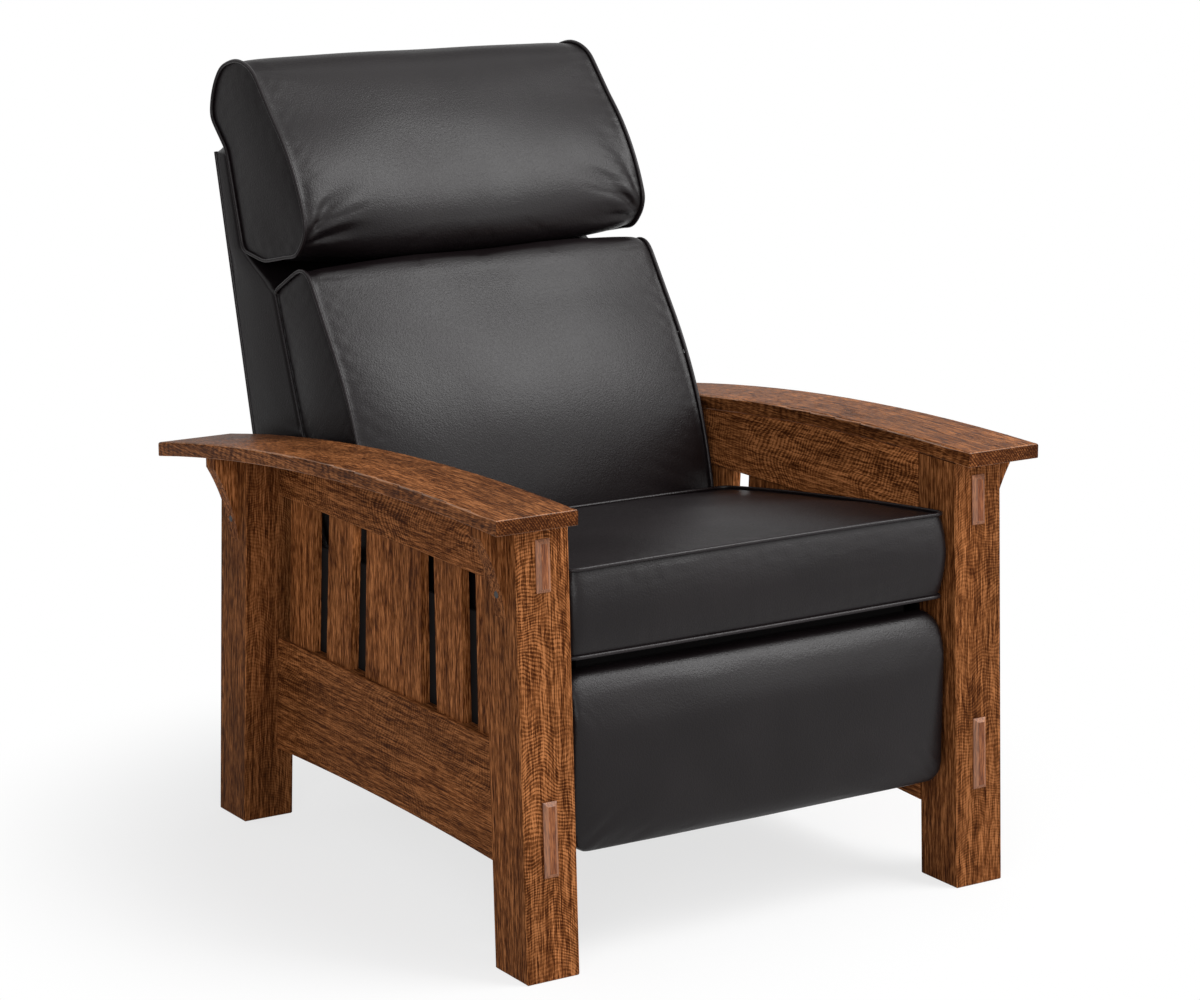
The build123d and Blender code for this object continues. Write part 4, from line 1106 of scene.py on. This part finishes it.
class ARMCHAIR_OT_cover(bpy.types.Operator):
    """Make the leather cover of the back, open at its foot, with welted edges"""

    bl_idname = "armchair.cover"
    bl_label = "Back Cover"

    def execute(self, context):
        half, corner, skin, roof_round, puff_height = 0.2800, 0.0075, 0.0095, 0.007, 0.0022
        heights = np.unique(np.concatenate([
            np.linspace(COVER_HEIGHTS[0] + 0.0005, COVER_HEIGHTS[-1], 90), COVER_HEIGHTS[1:-1],
        ]))
        fronts = np.interp(heights, COVER_HEIGHTS, COVER_FRONTS) + 0.0008
        rears = np.interp(heights, COVER_HEIGHTS, COVER_REARS) - 0.0008
        fronts = np.convolve(np.pad(fronts, 2, mode="edge"), np.ones(5) / 5, "valid")
        rings = []
        for height, near, far in zip(heights, fronts, rears):
            closing = max(0.0, height - (COVER_HEIGHTS[-1] - roof_round)) / roof_round
            inset = roof_round * (1 - math.sqrt(max(0.0, 1 - closing**2)))
            loop = rounded_rectangle(half - inset, near + inset, far - inset, corner, 240)
            puff = puff_height * math.sin(math.pi * min(1.0, (height - 0.33) / 0.60))
            way = np.sign(loop[:, 0]) * (np.abs(loop[:, 0]) > half - 0.012)
            middle = (loop[:, 1] - near) / (far - near)
            loop[:, 0] += way * puff * np.sin(math.pi * np.clip(middle, 0, 1))
            rear_face = ramp(loop[:, 1], far - 0.003, far - 0.0005)
            loop[:, 1] += rear_face * puff * 1.1 * (1 - (loop[:, 0] / half) ** 2)
            rings.append(plan_at(loop, height))
        inner = []
        for height, near, far in list(zip(heights, fronts, rears))[::-1]:
            roof = min(height, COVER_HEIGHTS[-1] - skin)
            near_in = np.interp(roof, heights, fronts) + skin * 1.08
            far_in = np.interp(roof, heights, rears) - 0.0092
            far_in = max(far_in, near_in + 0.004)
            loop = rounded_rectangle(half - skin, near_in, far_in, 0.0019, 240)
            inner.append(plan_at(loop, roof))
        crown = [drawn_in(rings[-1], share) for share in (0.2, 0.5, 0.8, 0.97)]
        lid = [drawn_in(inner[0], share) for share in (0.6, 0.2)]
        shell = np.array(crown + rings[::-1] + inner[::-1] + lid)
        piece = closed_surface("back_cover_leather", shell)
        upholster(piece, "back", "back_cover")
        span = np.linspace(COVER_HEIGHTS[0] + 0.004, COVER_HEIGHTS[-1] - 0.006, 160)
        rear_line = np.stack([np.interp(span, COVER_HEIGHTS, COVER_REARS) - 0.0022, span], 1)
        span = np.linspace(COVER_HEIGHTS[0] + 0.02, COVER_HEIGHTS[2] - 0.002, 130)
        front_line = np.stack([np.interp(span, COVER_HEIGHTS, COVER_FRONTS) + 0.0006, span], 1)
        for name, side in SIDES.items():
            path = at(rear_line, side * (half - 0.0015))
            cord(f"cover_piping_rear_{name}", path, "back", closed=False)
            path = at(front_line, side * (half - 0.0002))
            cord(f"cover_seam_{name}", path, "back", closed=False, radius=0.0014)
        return {"FINISHED"}


class ARMCHAIR_OT_footrest(bpy.types.Operator):
    """Make the footrest's pad, stretched over its board"""

    bl_idname = "armchair.footrest"
    bl_label = "Footrest Pad"

    def execute(self, context):
        half, low, high = 0.2920, 0.1470, 0.3785
        roll_height, roll_depth, rim_round, bend = 0.064, 0.026, 0.003, 0.008
        back, edge, crown = -0.3635, -0.4010, 0.0105
        recess_half, recess_in, recess_corner, recess_floor = 0.2725, 0.0145, 0.0165, -0.3753
        middle = np.array([0.0, (low + high) / 2])
        outline = rounded_rectangle(half, low, high, 0.024, 360)
        recess = rounded_rectangle(
            recess_half, low + recess_in, high - recess_in, recess_corner, 360,
        )

        def ring(loop, depth):
            depth = np.broadcast_to(depth + FEET_MIDDLE, len(loop))
            return np.column_stack([loop[:, 0], depth, loop[:, 1]])

        def face(loop):
            spread = np.clip(1 - (loop[:, 0] / half) ** 2, 0, 1)
            rise = np.clip(1 - ((loop[:, 1] - middle[1]) / (high - low) * 2) ** 2, 0, 1)
            roll = np.clip((loop[:, 1] - high + roll_height) / roll_height, 0, 1) ** 2
            return edge - crown * (0.35 * spread + 0.65 * spread * rise**0.6) + roll_depth * roll

        way = outward(outline)
        rings = [
            ring(drawn_in(recess, share, middle), recess_floor)
            for share in (0.04, 0.3, 0.6, 0.9, 1.0)
        ]
        rings += [ring(recess, depth) for depth in (-0.3725, -0.3690, -0.3650, back)]
        rings += [ring(recess + (outline - recess) * share, back) for share in (0.25, 0.5, 0.75)]
        for angle in np.linspace(0, math.pi / 2, 5):
            loop = outline - way * rim_round * (1 - math.sin(angle))
            rings.append(ring(loop, back - rim_round * (1 - math.cos(angle))))
        ahead = back - rim_round
        for share in np.linspace(0, 1, 6):
            rings.append(ring(outline, ahead + share * (face(outline) + bend - ahead)))
        for angle in np.linspace(0.15, math.pi / 2, 9):
            loop = outline - way * bend * (1 - math.cos(angle))
            rings.append(ring(loop, face(loop) + bend * (1 - math.sin(angle))))
        rim = outline - way * bend
        for share in np.sin(np.linspace(1, 0.03, 34)[1:] * math.pi / 2):
            loop = drawn_in(rim, share, middle)
            rings.append(ring(loop, face(loop)))
        piece = closed_surface("footrest_pad_leather", np.array(rings))
        seams = [ring(outline, back - 0.001)]

        def held(points):
            return ramp(points[:, 1], edge + FEET_MIDDLE - 0.001, edge + FEET_MIDDLE + 0.008)

        stuff(piece, seams, held, 0.004)
        press(piece, seams, lambda points: dips(points, 31, 0.15, 0.0005) * (1 - held(points)))
        upholster(piece, "footrest", "footrest_pad")
        return {"FINISHED"}


class ARMCHAIR_OT_stage(bpy.types.Operator):
    """Set the pale floor, the soft lamps and the camera"""

    bl_idname = "armchair.stage"
    bl_label = "Studio"

    def execute(self, context):
        studio = context.scene.armchair_studio
        context.scene.view_settings.view_transform = "Standard"
        self.floor()
        self.world(studio)
        self.lamp("key", (2.16, -2.19, 3.83), (0.0, 0.05, 0.72), 2.3, 2.9, studio.key_power)
        self.lamp("fill", (-2.6, -3.4, 1.8), (0.0, 0.0, 0.5), 2.4, 1.8, studio.fill_power)
        self.lamp("low", (1.87, -2.96, 1.22), (0.0, -0.48, 0.45), 1.8, 1.1, LOW_POWER)
        self.lamp("top", (0.2, 0.4, 3.2), (0.0, 0.0, 0.4), 2.4, 2.4, TOP_POWER)
        camera = bpy.data.cameras.new("camera")
        camera.sensor_fit = "HORIZONTAL"
        camera.sensor_width = 36.0
        camera.lens = studio.lens
        camera.clip_end = 200.0
        holder = place_in_scene("camera", camera)
        holder.location = CAMERA_PLACE
        holder.rotation_euler = CAMERA_TURN
        context.scene.camera = holder
        return {"FINISHED"}

    def floor(self):
        """Flat rings out to 30 m: a white floor near the chair that turns into plain white."""
        radius = np.concatenate([[0.2], np.geomspace(0.5, 30.0, 12)])
        angle = np.linspace(0, 2 * math.pi, 64, endpoint=False)
        rings = np.stack([
            radius[:, None] * np.cos(angle), radius[:, None] * np.sin(angle),
            np.zeros((len(radius), len(angle))),
        ], -1)
        index = np.arange(rings[..., 0].size).reshape(len(radius), -1)
        faces = bands(index[::-1]) + [index[0].tolist()]
        points = rings.reshape(-1, 3) - (0, 0, 0.0002)
        floor = make_object("studio_floor", points, faces, smooth=False)
        work = Finish("pale_floor")
        x, y, _ = work.parts(work.place())
        away = (x * x + y * y).root().step(0.45, 0.95)
        near_white = 0.72
        share = work.seen() * (away * (1.0 - near_white) + near_white)
        paint = work.add("ShaderNodeBsdfDiffuse", inputs={"Color": (0.80, 0.80, 0.80, 1)})
        plain = work.add("ShaderNodeEmission", inputs={"Color": (1, 1, 1, 1), "Strength": 1.0})
        assign(floor, work.end(work.mixed(share, paint, plain)))

    def world(self, studio):
        """Light from all round; what the camera, gloss and glass see of it is white."""
        world = bpy.data.worlds.new("studio")
        bpy.context.scene.world = world
        work = Finish("studio", world)
        cool, white = (0.96, 0.98, 1.0, 1), (1, 1, 1, 1)
        light, plain = (
            work.add("ShaderNodeBackground", inputs={"Color": colour, "Strength": strength})
            for colour, strength in ((cool, studio.world_light), (white, 1.0))
        )
        work.end(work.mixed(work.seen(), light, plain))

    def lamp(self, name, place, target, width, height, power):
        light = bpy.data.lights.new(name, "AREA")
        light.shape = "RECTANGLE"
        light.size = width
        light.size_y = height
        light.energy = power
        holder = place_in_scene(name, light)
        holder.location = place
        holder.rotation_euler = (Vector(target) - Vector(place)).to_track_quat("-Z", "Y").to_euler()


class ARMCHAIR_PT_panel(bpy.types.Panel):
    """Lists the settings and a button for each step"""

    bl_label = "Reclining Armchair"
    bl_idname = "ARMCHAIR_PT_panel"
    bl_space_type = "VIEW_3D"
    bl_region_type = "UI"
    bl_category = "Armchair"

    def draw(self, context):
        for key, group in GROUPS.items():
            for name in group.__annotations__:
                self.layout.prop(getattr(context.scene, key), name)
        for operator in STEPS:
            self.layout.operator(operator.bl_idname)


GROUPS = {
    "armchair_oak": OakSettings,
    "armchair_leather": LeatherSettings,
    "armchair_cushions": CushionSettings,
    "armchair_studio": StudioSettings,
}
STEPS = (
    ARMCHAIR_OT_oak, ARMCHAIR_OT_mechanism, ARMCHAIR_OT_cover, ARMCHAIR_OT_lumbar,
    ARMCHAIR_OT_pillow, ARMCHAIR_OT_seat, ARMCHAIR_OT_footrest, ARMCHAIR_OT_stage,
)


def register():
    for group in GROUPS.values():
        bpy.utils.register_class(group)
    for name, group in GROUPS.items():
        setattr(bpy.types.Scene, name, PointerProperty(type=group))
    for operator in STEPS:
        bpy.utils.register_class(operator)
    bpy.utils.register_class(ARMCHAIR_PT_panel)


def unregister():
    bpy.utils.unregister_class(ARMCHAIR_PT_panel)
    for operator in STEPS[::-1]:
        bpy.utils.unregister_class(operator)
    for name, group in GROUPS.items():
        delattr(bpy.types.Scene, name)
        bpy.utils.unregister_class(group)


def main():
    register()
    bpy.ops.armchair.oak()
    bpy.ops.armchair.mechanism()
    bpy.ops.armchair.cover()
    bpy.ops.armchair.lumbar()
    bpy.ops.armchair.pillow()
    bpy.ops.armchair.seat()
    bpy.ops.armchair.footrest()
    bpy.ops.armchair.stage()


if __name__ == "__main__":
    main()
